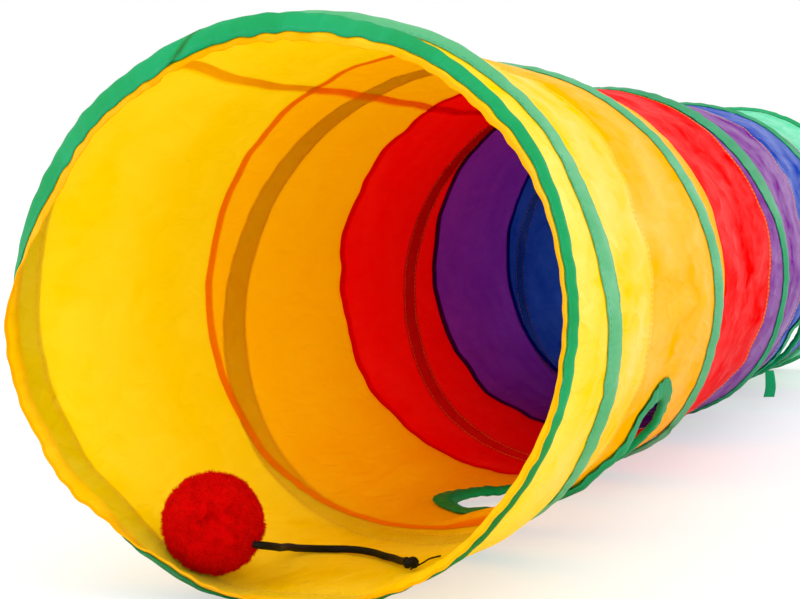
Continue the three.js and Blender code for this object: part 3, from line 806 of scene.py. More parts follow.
def make_panel(index, name, hem, hole):
    rows = panel_rows(index, hem)
    base = rows[:, :1]
    half = 0.5 * SEAM_WIDTH / ARC_DEGREE
    step = COLUMN_STEP / ARC_DEGREE
    sweep = np.arange(0, 360 + 2 * half + 0.5 * step, step)
    angle = SEAM_ANGLE - half + sweep[None, :] + ripples(SEAM_LEANS, base)
    share = np.clip((base - PANEL_LENGTH * index) / PANEL_LENGTH, 0, 1)
    depth = base + (1 - share) * seam_wave(angle, index) + share * seam_wave(angle, index + 1)
    lift = CLOTH_LIFT + rows[:, 1:2] - LAP_DROP * ramp(sweep, 360 - SEAM_SLOPE, 360)
    keep = None
    if hole:
        depth, angle, keep = cut_hole(depth, angle, index)
    faces, corner_rows, corner_columns = grid_faces(*depth.shape, keep=keep)
    run = length_along(rows[:, :2]) + PANEL_LENGTH * index
    flat = np.stack([sweep[corner_columns] * ARC_DEGREE, run[corner_rows]], axis=-1)
    lapped = ramp(sweep, 360 - SEAM_EDGE, 360)
    seam = np.maximum(1 - ramp(sweep, 2 * half - SEAM_EDGE, 2 * half), lapped)
    marks = {
        "layers": (1 - (1 - seam) * (1 - rows[:, 2:3])).ravel(),
        "tint": np.maximum(rows[:, 3:], LAP_TINT * lapped).ravel(),
    }
    points = cloth_point(depth, angle, lift).reshape(-1, 3)
    made = add_object(f"{name}_panel", points, [faces], flat.reshape(-1, 2), marks)
    cut = (round(sweep[-1] * ARC_DEGREE), round(run[-1] - run[0]))
    print(f"{name} panel: cut {cut[0]} x {cut[1]} mm, {triangles_of(made)} triangles")
    return made, cut


panels, cuts = {}, {}
for index, (name, hem, hole) in enumerate(PANELS):
    panels[name], cuts[name] = make_panel(index, name, hem, hole)

# %% [markdown]
# ## The tape's form
# One long tape is wound round the cloth and stitched down along both edges, with the wire in
# the tunnel between. It could be a flat strip with a bump map, but its edge shows against the
# white floor, so it has a whole section: two turned-under edges, two sunk lines of stitches
# and a ridge over the wire. It isn't as wide everywhere. It is eased narrower round the right of the
# mouth, lies spread at the low left, and is loosest on the coil's third turn.

# %% Section and width of the tape
TAPE_SECTION = [
    # across from the wire as a share of half the width, lift off the cloth, from edge to edge
    (-0.74, -0.85), (-0.92, -0.85), (-1.0, -0.55), (-0.95, -0.15), (-0.88, 0.0), (-0.8, -0.15),
    (-0.66, 0.6), (-0.5, 1.25), (-0.36, 1.75), (-0.24, 2.1), (-0.12, 2.3), (0.0, 2.4), (0.12, 2.3),
    (0.24, 2.1), (0.36, 1.75), (0.5, 1.25), (0.66, 0.6), (0.8, -0.15), (0.88, 0.0), (0.95, -0.15),
    (1.0, -0.55), (0.92, -0.85), (0.74, -0.85),
]
COIL_WIDTH = 27.0
TAPE_HALVES = {"front": RING_WIDTH / 2, "end": RING_WIDTH / 2, "coil": COIL_WIDTH / 2}
TAPE_EASES = [
    # tape, how much wider in front of the wire and behind it, unwound angles of that stretch
    ("front", -2.0, -2.0, (10, 40, 140, 175)),
    ("front", 6.5, 0.0, (188, 205, 212, 228)),
    ("front", 0.0, 8.0, (185, 225, 275, 320)),
    ("coil", 2.2, 2.2, (10, 50, 300, 420)),
    ("coil", 16.0, 4.0, (708, 740, 772, 808)),
    ("coil", -4.0, -4.0, (785, 805, 850, 890)),
]


def tape_across(kind, unwound, share):
    """How far from the wire a share of the half width is. Width is uneven, as the tape was sewn by eye."""
    half = TAPE_HALVES[kind]
    for tape, in_front, behind, stretch in TAPE_EASES:
        if tape == kind:
            half = half + np.where(share > 0, behind, in_front) * between(unwound, stretch)
    return share * half


unwound = np.arange(COIL_LEAD, COIL_END)
widths = tape_across("coil", unwound, 1) - tape_across("coil", unwound, -1)
print("coil tape:", widths.min().round(1), "to", widths.max().round(1), "mm wide")

# %% [markdown]
# ## Edges and laps of the tape
# Tape that is eased round a curve lifts between its stitches, and its front edge runs in uneven
# scallops. Where one length ended, the next was sewn over it. Edges could be displaced by a noise,
# but a lap has its own place and lean, so both are worked out from the unwound angle.

# %% Ripples, scallops and laps
TAPE_RIPPLES = [(88, 0.1, 30), (61, 0.08, 200)]
FRONT_SCALLOPS = [(29, 0.5, 12)]
FRONT_JAGS = [(47, 0.6, 0)]
JAG_BEATS = 5
FRONT_EDGE_TUCK = 0.8
BACK_EDGE_WAVES = [(13, 0.4, 60)]
TAPE_LAPS = [
    # tape, unwound angle at which a new length starts, its length, its lean
    ("front", 341.0, 16.0, 1.5),
    ("coil", 497.0, 14.0, 0.4),
    ("coil", 1010.0, 14.0, -0.5),
]
TAPE_LAP_RISE = 0.9
TAPE_LAP_EDGE = 0.6
TAPE_LAP_FALL = 30.0


def tape_ripple(angle, share):
    """Sewn tape lifts a little between stitches, most of all at its edges."""
    return share**2 * ripples(TAPE_RIPPLES, angle)


def tape_edge(angle, share):
    """How far the edges stray sideways: the front one in uneven scallops, the back one hardly."""
    front = np.clip(-share, 0, 1) ** 4
    back = np.clip(share, 0, 1) ** 4
    jag = np.abs(ripples(FRONT_SCALLOPS, angle)) + ripples(FRONT_JAGS, angle) * sin_deg(JAG_BEATS * angle)
    return front * (jag - FRONT_EDGE_TUCK) + back * ripples(BACK_EDGE_WAVES, angle)


def laps(kind, unwound, share):
    """How far past the leaning edge of each lap a place on the tape is, and the lap's length."""
    for tape, start, length, lean in TAPE_LAPS:
        if tape == kind:
            yield (unwound - start) * ARC_DEGREE - lean * share * TAPE_HALVES[kind], length


def lap_lift(kind, unwound, share):
    """One layer more where a new length of tape starts over the last one."""
    return sum(
        TAPE_LAP_RISE * between(at, (-TAPE_LAP_EDGE, TAPE_LAP_EDGE, length, length + TAPE_LAP_FALL))
        for at, length in laps(kind, unwound, share)
    )


print("tape laps:", len(TAPE_LAPS), "of them, each", TAPE_LAP_RISE, "mm high")

# %% [markdown]
# ## The tape casing
# The section is swept along each wire, on the wrinkled cloth. One open layer lets light through
# to the inside, as the real tape does. Two marks go with it. One is painted shade: a painted shadow
# along the edge of each lap, and painted shade on the ring's tape low on the right and underneath.
# The other makes the coil's first turns paler. Painting them by hand would need an image, so they
# are worked out for every point and stored in the mesh.

# %% Tape swept along the wires
TAPE_CROWNS = {"front": 1.0, "end": 1.0, "coil": 0.75}
TAPE_FACE = -0.6
TAPE_LOW = -0.85
TAPE_END = 14.0
TAPE_END_SHARE = 0.2
TAPE_STEP = 2.2
COIL_TRIM = 0.1
# Painted shade on the tape: a painted shadow along each lap's edge, and painted shade on the ring's tape low
# on the right and underneath.
LAP_EDGE_SHADOW = 2.6
LAP_EDGE_SHADOW_WIDTH = 2.2
LOW_RING_SHADE = 1.6
LOW_RING_SHADE_ANGLES = (100, 135, 200, 225)
# The coil's tape is paler up to 560 degrees unwound, fading out by 700.
COIL_PALING = 0.5
PALING_FADE = (560, 700)


def painted_tape_shade(kind, unwound, share):
    """How much deeper the tape's colour is painted: a painted shadow along the edge of a lap, and painted
    shade on the ring's tape low on the right and underneath.
    """
    mark = np.zeros(np.broadcast(unwound, share).shape)
    for at, _ in laps(kind, unwound, share):
        mark = np.maximum(mark, LAP_EDGE_SHADOW * np.exp(-((at / LAP_EDGE_SHADOW_WIDTH) ** 2)))
    if kind == "front":
        mark = np.maximum(mark, LOW_RING_SHADE * between(unwound, LOW_RING_SHADE_ANGLES))
    return mark


def tape_points(kind, line, unwound):
    share, lift = np.array(TAPE_SECTION).T
    lift = np.where(lift > 0, TAPE_CROWNS[kind] * lift, lift)
    unwound = unwound[:, None]
    top = np.where(lift > TAPE_FACE, 1.0, 0.0)
    raised = lift + top * (tape_ripple(unwound, share) + lap_lift(kind, unwound, share))
    if kind == "coil":
        from_end = np.minimum(unwound - COIL_LEAD, COIL_END - unwound) * ARC_DEGREE
        rise = TAPE_END_SHARE + (1 - TAPE_END_SHARE) * ramp(from_end, 0, TAPE_END)
        raised = TAPE_LOW + (raised - TAPE_LOW) * rise
    raised = np.minimum(raised, CASING_HEIGHT)
    depth = line(unwound) + tape_across(kind, unwound, share) + tape_edge(unwound, share)
    return cloth_point(depth, unwound, raised)


def make_tape(name, kind, line, start, end):
    """A tape round the tube. A full ring is closed on itself, and a coil is flat at its two ends."""
    ring = kind != "coil"
    length = (end - start) * ARC_DEGREE
    unwound = np.linspace(start, end, round(length / TAPE_STEP) + 1)[: -1 if ring else None]
    points = tape_points(kind, line, unwound)
    faces, rows, columns = grid_faces(*points.shape[:2], closed_rows=ring)
    section = np.array(TAPE_SECTION)
    girth = length_along(section * (TAPE_HALVES[kind], 1))
    flat = np.stack([rows * TAPE_STEP, girth[columns]], axis=-1)
    # The tint mark on tape is painted shade: a shadow along each lap's edge and shade on the ring low on the
    # right.
    fold = painted_tape_shade(kind, unwound[:, None], section[:, 0])
    paling = np.zeros(fold.shape)
    if not ring:
        paling += COIL_PALING * (1 - ramp(unwound, *PALING_FADE))[:, None]
    marks = {"tint": fold.ravel(), "paling": paling.ravel()}
    made = add_object(name, points.reshape(-1, 3), [faces], flat.reshape(-1, 2), marks)
    print(f"{name}: {round(length)} mm of tape, {triangles_of(made)} triangles")
    return made


front_tape = make_tape("front_ring_tape", "front", front_ring, 0, 360)
end_tape = make_tape("end_ring_tape", "end", end_ring, 0, 360)
coil_tape = make_tape("coil_tape", "coil", coil, COIL_LEAD + COIL_TRIM, COIL_END - COIL_TRIM)

# %% [markdown]
# ## Bound peepholes
# The oval holes low on the right side are edged with tape, folded over the raw cloth and
# stitched through both layers. Folding a straight tape round a tight oval makes it pucker, and
# its two ends lap. The same sweep is used, along the oval, with a section that wraps the edge.

# %% Bindings swept round the holes
BINDING_SECTION = [
    # out from the hole's edge, lift off the cloth
    (8.0, 0.1), (7.5, 0.55), (6.8, 0.6), (6.0, 0.35), (4.8, 0.8), (3.0, 1.15), (0.8, 1.3), (-1.3, 1.1),
    (-2.7, 0.2), (-3.0, -1.0), (-2.7, -2.2), (-1.3, -3.1), (0.8, -3.3), (3.0, -3.2), (4.8, -2.8),
    (6.0, -2.4), (6.8, -2.65), (7.5, -2.6), (8.0, -2.2), (6.0, -1.85), (1.5, -1.85), (-0.9, -1.1),
    (1.5, -0.3), (6.0, -0.3),
]
BINDING_OUTER = -0.2
BINDING_INNER = -2.1
BINDING_COVER = 8.0
BINDING_STITCH = 6.0
BINDING_STEPS = 220
BINDING_LENGTH = 370.0
BINDING_PUCKERS = 43
BINDING_PUCKER_HEIGHTS = (0.25, 0.3)
BINDING_BEATS = [(7, 0.4, 50)]
BINDING_LAP = 176.0
BINDING_LAP_RISE = 0.7
BINDING_LAP_TURNS = (-0.7, 0.7, 9, 26)


def binding_point(index, turn, beyond, lift):
    across = (HOLE_HALF_ARC + beyond) * sin_deg(turn)
    angle = HOLE_ANGLE + np.degrees(np.arcsin(across / (CLOTH_RADIUS + lift)))
    depth = PANEL_LENGTH * index + HOLE_IN_PANEL + (HOLE_HALF_DEPTH + beyond) * cos_deg(turn)
    return cloth_point(depth, angle, lift)


def binding_wave(turn, beyond):
    """Puckers of the eased tape, across its width, and the extra layer of the lap."""
    flap = np.clip(beyond / BINDING_COVER, 0, 1)
    at_fold, at_flap = BINDING_PUCKER_HEIGHTS
    beat = 0.6 + ripples(BINDING_BEATS, turn)
    pucker = (at_fold + at_flap * flap) * sin_deg(BINDING_PUCKERS * turn) * beat
    return pucker + BINDING_LAP_RISE * between(turn_from(BINDING_LAP, turn), BINDING_LAP_TURNS)


def make_binding(index, name):
    beyond, lift = np.array(BINDING_SECTION).T
    turn = (360 * np.arange(BINDING_STEPS) / BINDING_STEPS)[:, None]
    facing = np.where(lift > BINDING_OUTER, 1.0, np.where(lift < BINDING_INNER, -1.0, 0.0))
    points = binding_point(index, turn, beyond + 0 * turn, lift + facing * binding_wave(turn, beyond))
    faces, rows, columns = grid_faces(*points.shape[:2], closed_rows=True, closed_columns=True)
    girth = length_along(np.array(BINDING_SECTION + BINDING_SECTION[:1]))
    flat = np.stack([rows * BINDING_LENGTH / BINDING_STEPS, girth[columns]], axis=-1)
    made = add_object(f"{name}_binding", points.reshape(-1, 3), [faces], flat.reshape(-1, 2))
    print(f"{name} binding: {triangles_of(made)} triangles")
    return made


holed = [(index, name) for index, (name, _, hole) in enumerate(PANELS) if hole]
bindings = {name: make_binding(index, name) for index, name in holed}

# %% [markdown]
# ## The loose tape end
# At the second peephole a short end of tape was left hanging. It is a flat strip with a slight
# curl and a twist, so a few listed stations and a smooth line through them are enough.

# %% Tape tail
TAIL_STATIONS = np.array([(0, 0, 0), (1, -2, -7), (1.5, -4, -14), (0.5, -6, -21)], dtype=float)
TAIL_TWISTS = [38, 50, 58, 62]
TAIL_PANEL = 4
TAIL_TURN = 206.0
TAIL_HALF = 4.5
TAIL_ROOT_LIFT = 4.85
TAIL_BEYOND = 3.0
TAIL_THICK = 0.5
TAIL_CURL = 0.5
TAIL_STEP = 0.8
TAIL_ACROSS = 9

tail_root = binding_point(TAIL_PANEL, TAIL_TURN, TAIL_BEYOND, TAIL_ROOT_LIFT)
tail_line = tail_root + smooth_line(TAIL_STATIONS, TAIL_STEP)
share = np.linspace(0, 1, len(tail_line))
twist = np.interp(share, np.linspace(0, 1, len(TAIL_TWISTS)), TAIL_TWISTS)
across = np.stack([sin_deg(twist), cos_deg(twist), 0 * twist], axis=1)[:, None]
facing = np.stack([cos_deg(twist), -sin_deg(twist), 0 * twist], axis=1)[:, None]
span = np.linspace(-1, 1, TAIL_ACROSS)
middle = tail_line[:, None] + TAIL_HALF * span[:, None] * across
middle = middle + TAIL_CURL * (span**2)[:, None] * share[:, None, None] * facing
tail_points = np.concatenate([middle, (middle + TAIL_THICK * facing)[:, ::-1]], axis=1)
tail = add_tube("loose_tape_end", tail_points, TAIL_STEP, 2 * TAIL_HALF / TAIL_ACROSS)
print("tape tail:", triangles_of(tail), "triangles")

# %% [markdown]
# ## Stitches
# Sewing thread is thinner than a pixel from the camera, but close up the seams would look glued
# without it. Each stitch is a tiny four-sided bar with sunk ends. All bars of one seam are made
# in one go from the line that it follows, and joined into one mesh. A seam is therefore a function
# that gives places along it, with a lift.

# %% Bars of thread along a seam
STITCH_LENGTH = 2.6
STITCH_PITCH = 3.2
STITCH_ARCH = [(-1, -0.12), (0, 0.06), (1, -0.12)]
THREAD_HALF = 0.11
LOOK_AHEAD = 0.2


def stitches(place, start, end, arc):
    """Corners of the bars along a seam. place gives the points at stations along it, with a lift."""
    count = round((end - start) * arc / STITCH_PITCH)
    middles = start + (np.arange(count) + 0.5) * (end - start) / count
    half = 0.5 * STITCH_LENGTH / arc
    bars = []
    for side_of_middle, drop in STITCH_ARCH:
        at = middles + side_of_middle * half
        base, raised = place(at, drop), place(at, drop + 2 * THREAD_HALF)
        ahead = place(at + LOOK_AHEAD * half, drop) - base
        side = np.cross(ahead, raised - base)
        side *= THREAD_HALF / np.linalg.norm(side, axis=1)[:, None]
        middle = 0.5 * (base + raised)
        bars.append(np.stack([base, middle + side, raised, middle - side], axis=1))
    return np.stack(bars, axis=1)


def add_thread(name, seams):
    bars = np.concatenate([stitches(*seam) for seam in seams])
    count = len(bars)
    ring, corner = np.meshgrid(np.arange(2), np.arange(4), indexing="ij")
    quad = np.stack([ring * 4 + corner, ring * 4 + (corner + 1) % 4], axis=-1)
    quad = np.concatenate([quad, quad[..., ::-1] + 4], axis=-1).reshape(-1, 4)
    faces = (np.arange(count)[:, None, None] * 12 + quad[None]).reshape(-1, 4)
    made = add_object(name, bars.reshape(-1, 3), [faces])
    print(f"{name}: {count} stitches, {triangles_of(made)} triangles")
    return made


def long_seam(off):
    def place(depth, drop):
        angle = SEAM_ANGLE + ripples(SEAM_LEANS, depth) + off / ARC_DEGREE
        return cloth_point(depth, angle, CLOTH_LIFT + drop)

    return place


print("a stitch every", STITCH_PITCH, "mm:", len(stitches(long_seam(0), 0, 100, 1.0)), "in 100 mm of seam")

# %% [markdown]
# ## Lines that the seams follow
# The tape has two lines of stitches, which show on it and again inside the tunnel. Ring seams
# and both faces of a binding have their own. Curves drawn on the cloth would have to be drawn again
# after each change of its form. A function asks the cloth where it lies, so stitches stay on it.

# %% Tape, ring and binding seams
STITCH_ROWS = (-0.8, 0.8)


def tape_seam(kind, line, share):
    lift = dict(TAPE_SECTION)[share]

    def place(unwound, drop):
        raised = lift + tape_ripple(unwound, share) + lap_lift(kind, unwound, share) + drop
        return cloth_point(line(unwound) + tape_across(kind, unwound, share), unwound, raised)

    return place


def inner_seam(kind, line, share):
    def place(unwound, drop):
        return cloth_point(line(unwound) + tape_across(kind, unwound, share), unwound, CLOTH_LIFT - drop)

    return place


def ring_seam(index, off):
    def place(angle, drop):
        depth = PANEL_LENGTH * index + off + seam_wave(angle, index)
        return cloth_point(depth, angle, CLOTH_LIFT + drop)

    return place


def binding_seam(index, lift, facing):
    def place(turn, drop):
        raised = lift + facing * (binding_wave(turn, BINDING_STITCH) + drop)
        return binding_point(index, turn, BINDING_STITCH, raised)

    return place


first_stitch = tape_seam("front", front_ring, STITCH_ROWS[0])(0.0, 0.0)
print("front tape: first stitch", first_stitch[2].round(1), "mm above the floor")

# %% [markdown]
# ## Thread on every seam
# The thread's colour follows the cloth, so seams are joined by place and colour, and the first
# ring seam is a piece of its own. One object for each stitch would be thousands of objects, which
# makes a scene slow. One mesh for a group of seams is quick, and takes one material.

# %% Stitches of every seam
RING_STITCHES = (-1.5, 1.5)
LONG_STITCHES = (-2.0, 2.0)
LONG_SEAM_INSET = 12.0
BINDING_ARC = 1.15
COIL_SEAM_TRIM = 1
BINDING_FACES = ((0.35, 1), (-2.4, -1))
TAPE_RUNS = [
    # tape, its wire, unwound angle at each end
    ("front", front_ring, 0, 360),
    ("end", end_ring, 0, 360),
    ("coil", coil, COIL_LEAD + COIL_SEAM_TRIM, COIL_END - COIL_SEAM_TRIM),
]


def on_tapes(seam):
    """Both lines of stitches of every tape, placed by one kind of seam."""
    return [
        (seam(kind, line, share), start, end, ARC_DEGREE)
        for kind, line, start, end in TAPE_RUNS
        for share in STITCH_ROWS
    ]


def on_rings(indices):
    return [(ring_seam(index, off), 0, 360, ARC_DEGREE) for index in indices for off in RING_STITCHES]


tape_thread = add_thread("tape_stitches", on_tapes(tape_seam))
inner_thread = add_thread("casing_stitches_inside", on_tapes(inner_seam))
long_ends = (LONG_SEAM_INSET, TUNNEL_LENGTH - LONG_SEAM_INSET)
long_seams = [(long_seam(off), *long_ends, 1.0) for off in LONG_STITCHES]
ring_thread = add_thread("panel_stitches", on_rings(range(2, len(PANELS))) + long_seams)
first_thread = add_thread("first_seam_stitches", on_rings([1]))
binding_thread = add_thread(
    "binding_stitches",
    [(binding_seam(index, *face), 0, 360, BINDING_ARC) for index, _ in holed for face in BINDING_FACES],
)

# %% [markdown]
# ## A thread end by the knot
# Where the cord is sewn in, the dark thread that holds it was left long, and it curls on the cloth.
# It is the same tube as the cord's, far thinner, along four places on the inside of the tunnel.

# %% Thread end on the cloth
THREAD_END = np.array([
    # depth, angle, lift off the cloth's outer face
    (73, 163.6, -2.2), (80, 161.6, -3.0), (89, 161.4, -2.8), (97, 160.2, -2.0),
])
THREAD_END_DIAMETER = 0.9
THREAD_END_SIDES = 6

thread_line = smooth_line(cloth_point(*THREAD_END.T), 2 * CORD_STEP)
thread_points = braided_tube(thread_line, THREAD_END_DIAMETER, THREAD_END_SIDES)
thread_end = add_tube("dark_thread_end", thread_points, CORD_STEP, THREAD_END_DIAMETER / 2)
print("thread end:", round(length_along(thread_line)[-1], 1), "mm long")

# %% [markdown]
# ## Room for the pompom
# The ball lies on the cloth inside the mouth, and its yarn is pressed short there. A physics
# simulation could settle it. It is enough to follow each direction outwards from the centre, and to
# draw its tip back in a few steps until it lies inside the cloth.

# %% Directions and the room in each
POMPOM_CENTRE = np.array([-45.0, -570.5, 32.4])
POMPOM_RADIUS = 23.7
CORE_RADIUS = 22.2
CLOTH_CLEARANCE = 0.2
ROOM_TRIES = 6
ROOM_STEP = 0.1
ROOM_PUSH = 1.2
SHORTEST_REACH = CORE_RADIUS - 3


def even_directions(count):
    turn = math.pi * (3 - math.sqrt(5)) * np.arange(count)
    height = 1 - 2 * (np.arange(count) + 0.5) / count
    ring = np.sqrt(1 - height**2)
    return np.stack([ring * np.cos(turn), ring * np.sin(turn), height], axis=1)


def unit(vectors):
    return vectors / np.linalg.norm(vectors, axis=-1, keepdims=True)


def room_for(way, reach):
    """How far a fibre can stand out before it meets the cloth that the ball lies on."""
    room = np.full(len(way), reach)
    for _ in range(ROOM_TRIES):
        tip = POMPOM_CENTRE + way * room[:, None]
        angle = np.degrees(np.arctan2(tip[:, 0], tip[:, 2] - AXIS_HEIGHT))
        wall = cloth_point(tip[:, 1] + TUNNEL_LENGTH / 2, angle, CLOTH_LIFT - CLOTH_CLEARANCE)
        out = np.hypot(tip[:, 0], tip[:, 2] - AXIS_HEIGHT)
        spare = np.hypot(wall[:, 0], wall[:, 2] - AXIS_HEIGHT) - out
        room = np.where(spare < 0, room + np.minimum(spare, -ROOM_STEP) * ROOM_PUSH, room)
    return np.clip(room, SHORTEST_REACH, reach)


least = room_for(even_directions(200), POMPOM_RADIUS).min()
print("room for yarn:", least.round(1), "to", POMPOM_RADIUS, "mm from the centre")

# %% [markdown]
# ## The pompom
# A pompom is yarn wound thick, tied round the middle and cut, so its surface is thousands of cut
# ends standing out from the centre. Particle hair would need converting before it could be
# exported. Each yarn end is a small tuft of fine three-sided spikes instead, all in one mesh. The
# fibres are shorter where the ball lies on the cloth, and each end has its own shade of the dye.

# %% Yarn ends
POMPOM_SEED = 4
YARN_ENDS = 900
FIBRES_PER_END = 45
FIBRE_ROOT = 20.5
FIBRE_HALF = 0.32
CORD_WAY = 0.12
END_SCATTER = 0.018
END_LENGTHS = (-0.45, 0.6)
LONGEST_END = 0.5
FIBRE_SCATTER = 0.042
FIBRE_LENGTHS = (0.1, 0.4)
LONGEST_FIBRE = 1.2
TIP_SCATTER = 0.02

draw = np.random.default_rng(POMPOM_SEED)
ends = even_directions(YARN_ENDS)
cord_way = unit(cord_line[-1] - POMPOM_CENTRE)
ends = ends[np.arccos(np.clip(ends @ cord_way, -1, 1)) > CORD_WAY]
ends = unit(ends + draw.normal(0, END_SCATTER, ends.shape))
lengths = np.minimum(draw.normal(*END_LENGTHS, len(ends)), LONGEST_END)
shades = np.repeat(draw.uniform(0, 1, len(ends)), FIBRES_PER_END)
crowded = np.repeat(ends, FIBRES_PER_END, axis=0)
ways = unit(crowded + draw.normal(0, FIBRE_SCATTER, crowded.shape))
reach = POMPOM_RADIUS + np.repeat(lengths, FIBRES_PER_END) + draw.normal(*FIBRE_LENGTHS, len(ways))
reach = np.minimum(reach, room_for(ways, POMPOM_RADIUS + LONGEST_FIBRE))
tips = POMPOM_CENTRE + unit(ways + draw.normal(0, TIP_SCATTER, ways.shape)) * reach[:, None]
roots = POMPOM_CENTRE + ways * FIBRE_ROOT
side = unit(np.cross(ways, draw.normal(0, 1, ways.shape)))
up = np.cross(ways, side)
turns = [0, 2 * math.pi / 3, 4 * math.pi / 3]
corners = [roots + FIBRE_HALF * (math.cos(a) * side + math.sin(a) * up) for a in turns]
fibre_points = np.stack([*corners, tips], axis=1).reshape(-1, 3)
spike = np.array([(0, 1, 3), (1, 2, 3), (2, 0, 3), (2, 1, 0)])
fibre_faces = (4 * np.arange(len(ways))[:, None, None] + spike[None]).reshape(-1, 3)
tip_share = np.tile([0.0, 0.0, 0.0, 1.0], len(ways))
print("pompom:", len(ways), "fibres in", len(ends), "yarn ends")

# %% [markdown]
# ## The pompom's core
# Between the fibres the eye sees down to more yarn, never through the ball. Filling it with fibres
# to the centre would cost many triangles that nobody sees. A plain ball just under the tips,
# flattened where it lies on the cloth, closes the gaps, and is joined to the fibres.

# %% Core joined to the fibres
CORE_ROWS = 18
CORE_COLUMNS = 36
CORE_CLEARANCE = 1.5

polar = np.pi * (np.arange(CORE_ROWS) + 0.5) / CORE_ROWS
round_way = 2 * np.pi * np.arange(CORE_COLUMNS) / CORE_COLUMNS
core_x = np.outer(np.sin(polar), np.cos(round_way))
core_y = np.outer(np.sin(polar), np.sin(round_way))
core_z = np.outer(np.cos(polar), np.ones(CORE_COLUMNS))
core_ways = np.stack([core_x, core_y, core_z], axis=-1).reshape(-1, 3)
core_reach = np.minimum(CORE_RADIUS, room_for(core_ways, POMPOM_RADIUS) - CORE_CLEARANCE)
core_points = POMPOM_CENTRE + core_ways * core_reach[:, None]
core_faces, _, _ = grid_faces(CORE_ROWS, CORE_COLUMNS, closed_columns=True)
first_core = len(fibre_points)
poles = [
    first_core + np.arange(CORE_COLUMNS)[None, ::-1],
    first_core + (CORE_ROWS - 1) * CORE_COLUMNS + np.arange(CORE_COLUMNS)[None, :],
]
# The core takes tip 0, so it has the roots' painted shade.
core_marks = np.zeros(len(core_points))
pompom = add_object(
    "yarn_pompom",
    np.vstack([fibre_points, core_points]),
    [fibre_faces, core_faces + first_core, *poles],
    marks={
        "tip": np.concatenate([tip_share, core_marks]),
        "shade": np.concatenate([np.repeat(shades, 4), core_marks]),
    },
)
print("pompom:", triangles_of(pompom), "triangles with its core")

# %% [markdown]
# ## Threads
# Taffeta, tape and elastic are all made of threads. One node group draws them, so that one weave
# serves every colour: a fine check of warp and weft, and slubs, the long uneven streaks of thicker
# threads. A group only gives values or colours, and the shader stays in each material.

# %% Node group for threads
FLOAT, VECTOR, COLOUR = "NodeSocketFloat", "NodeSocketVector", "NodeSocketColor"
SLUB_SCALES = [(2600.0, 70.0, 1.0), (60.0, 2400.0, 1.0)]
CHECK_SHARE = 0.25


def new_group(name, inputs, outputs):
    group = bpy.data.node_groups.new(name, "ShaderNodeTree")
    for label, kind in inputs:
        group.interface.new_socket(name=label, in_out="INPUT", socket_type=kind)
    for label, kind in outputs:
        group.interface.new_socket(name=label, in_out="OUTPUT", socket_type=kind)
    return group, group.nodes.new("NodeGroupInput").outputs, group.nodes.new("NodeGroupOutput").inputs


def use_group(tree, group, sockets):
    return new_node(tree, "ShaderNodeGroup", sockets, node_tree=group).outputs


threads_group, given, result = new_group(
    "woven_threads",
    [("Cloth", VECTOR), ("Pitch", FLOAT)],
    [("Height", FLOAT), ("Slubs", FLOAT)],
)
tree = threads_group
axes = new_node(tree, "ShaderNodeSeparateXYZ", {0: given["Cloth"]}).outputs
waves = []
for axis in ("X", "Y"):
    turns = maths(tree, "DIVIDE", axes[axis], given["Pitch"])
    waves.append(maths(tree, "SINE", maths(tree, "MULTIPLY", turns, 2 * math.pi)))
check = maths(tree, "MULTIPLY", *waves)
slubs = []
for scale in SLUB_SCALES:
    streak = new_node(tree, "ShaderNodeVectorMath", {0: given["Cloth"], 1: scale}, operation="MULTIPLY")
    sockets = {"Vector": streak.outputs[0], "Scale": 1.0, "Detail": 2.0}
    slubs.append(new_node(tree, "ShaderNodeTexNoise", sockets).outputs[0])
slub = maths(tree, "MULTIPLY", maths(tree, "ADD", *slubs), 0.5)
tree.links.new(maths(tree, "ADD", maths(tree, "MULTIPLY", check, CHECK_SHARE), slub), result["Height"])
tree.links.new(slub, result["Slubs"])
print("group", threads_group.name, "with", len(threads_group.nodes), "nodes")

# %% [markdown]
# ## Crumple and layers
# Cloth that was packed flat keeps faint crumpled lines, and is glossier in broad patches with strokes
# along the tunnel. Crumple: the ridge of a noise is the line where it crosses its middle value.
# Layers: light passing through more cloth is filtered again, which is a power of its colour. The same power
# deepens painted shade where a mark asks for it.

# %% Node groups for crumple and layers
CRUMPLE_LEAN = math.radians(16)
CRUMPLE_STRETCH = (1.7, 0.6, 1.0)
PATCH_SCALE = 0.26
STROKE_SHARE = 0.4
LAYER_POWER = 0.5
SLUB_POWER = 0.28
BARE_POWER = 0.86

crumple_group, given, result = new_group(
    "soft_crumple",
    [("Cloth", VECTOR), ("Size", FLOAT)],
    [("Height", FLOAT), ("Patches", FLOAT)],
)
tree = crumple_group
sockets = {"Vector": given["Cloth"], "Rotation": (0, 0, CRUMPLE_LEAN), "Scale": CRUMPLE_STRETCH}
leaning = new_node(tree, "ShaderNodeMapping", sockets).outputs[0]
finer = maths(tree, "DIVIDE", 1.0, given["Size"])
sockets = {"Vector": leaning, "Scale": finer, "Detail": 1.2, "Roughness": 0.4, "Distortion": 0.5}
crumple = new_node(tree, "ShaderNodeTexNoise", sockets).outputs[0]
from_middle = maths(tree, "SUBTRACT", crumple, 0.5)
ridge = maths(tree, "MULTIPLY", maths(tree, "ABSOLUTE", from_middle), -2.0)
tree.links.new(ridge, result["Height"])
broader = maths(tree, "MULTIPLY", finer, PATCH_SCALE)
sockets = {"Vector": given["Cloth"], "Scale": broader, "Detail": 1.8, "Distortion": 0.4}
broad = new_node(tree, "ShaderNodeTexNoise", sockets).outputs[0]
strokes = maths(tree, "MULTIPLY", from_middle, STROKE_SHARE)
tree.links.new(maths(tree, "ADD", broad, strokes), result["Patches"])

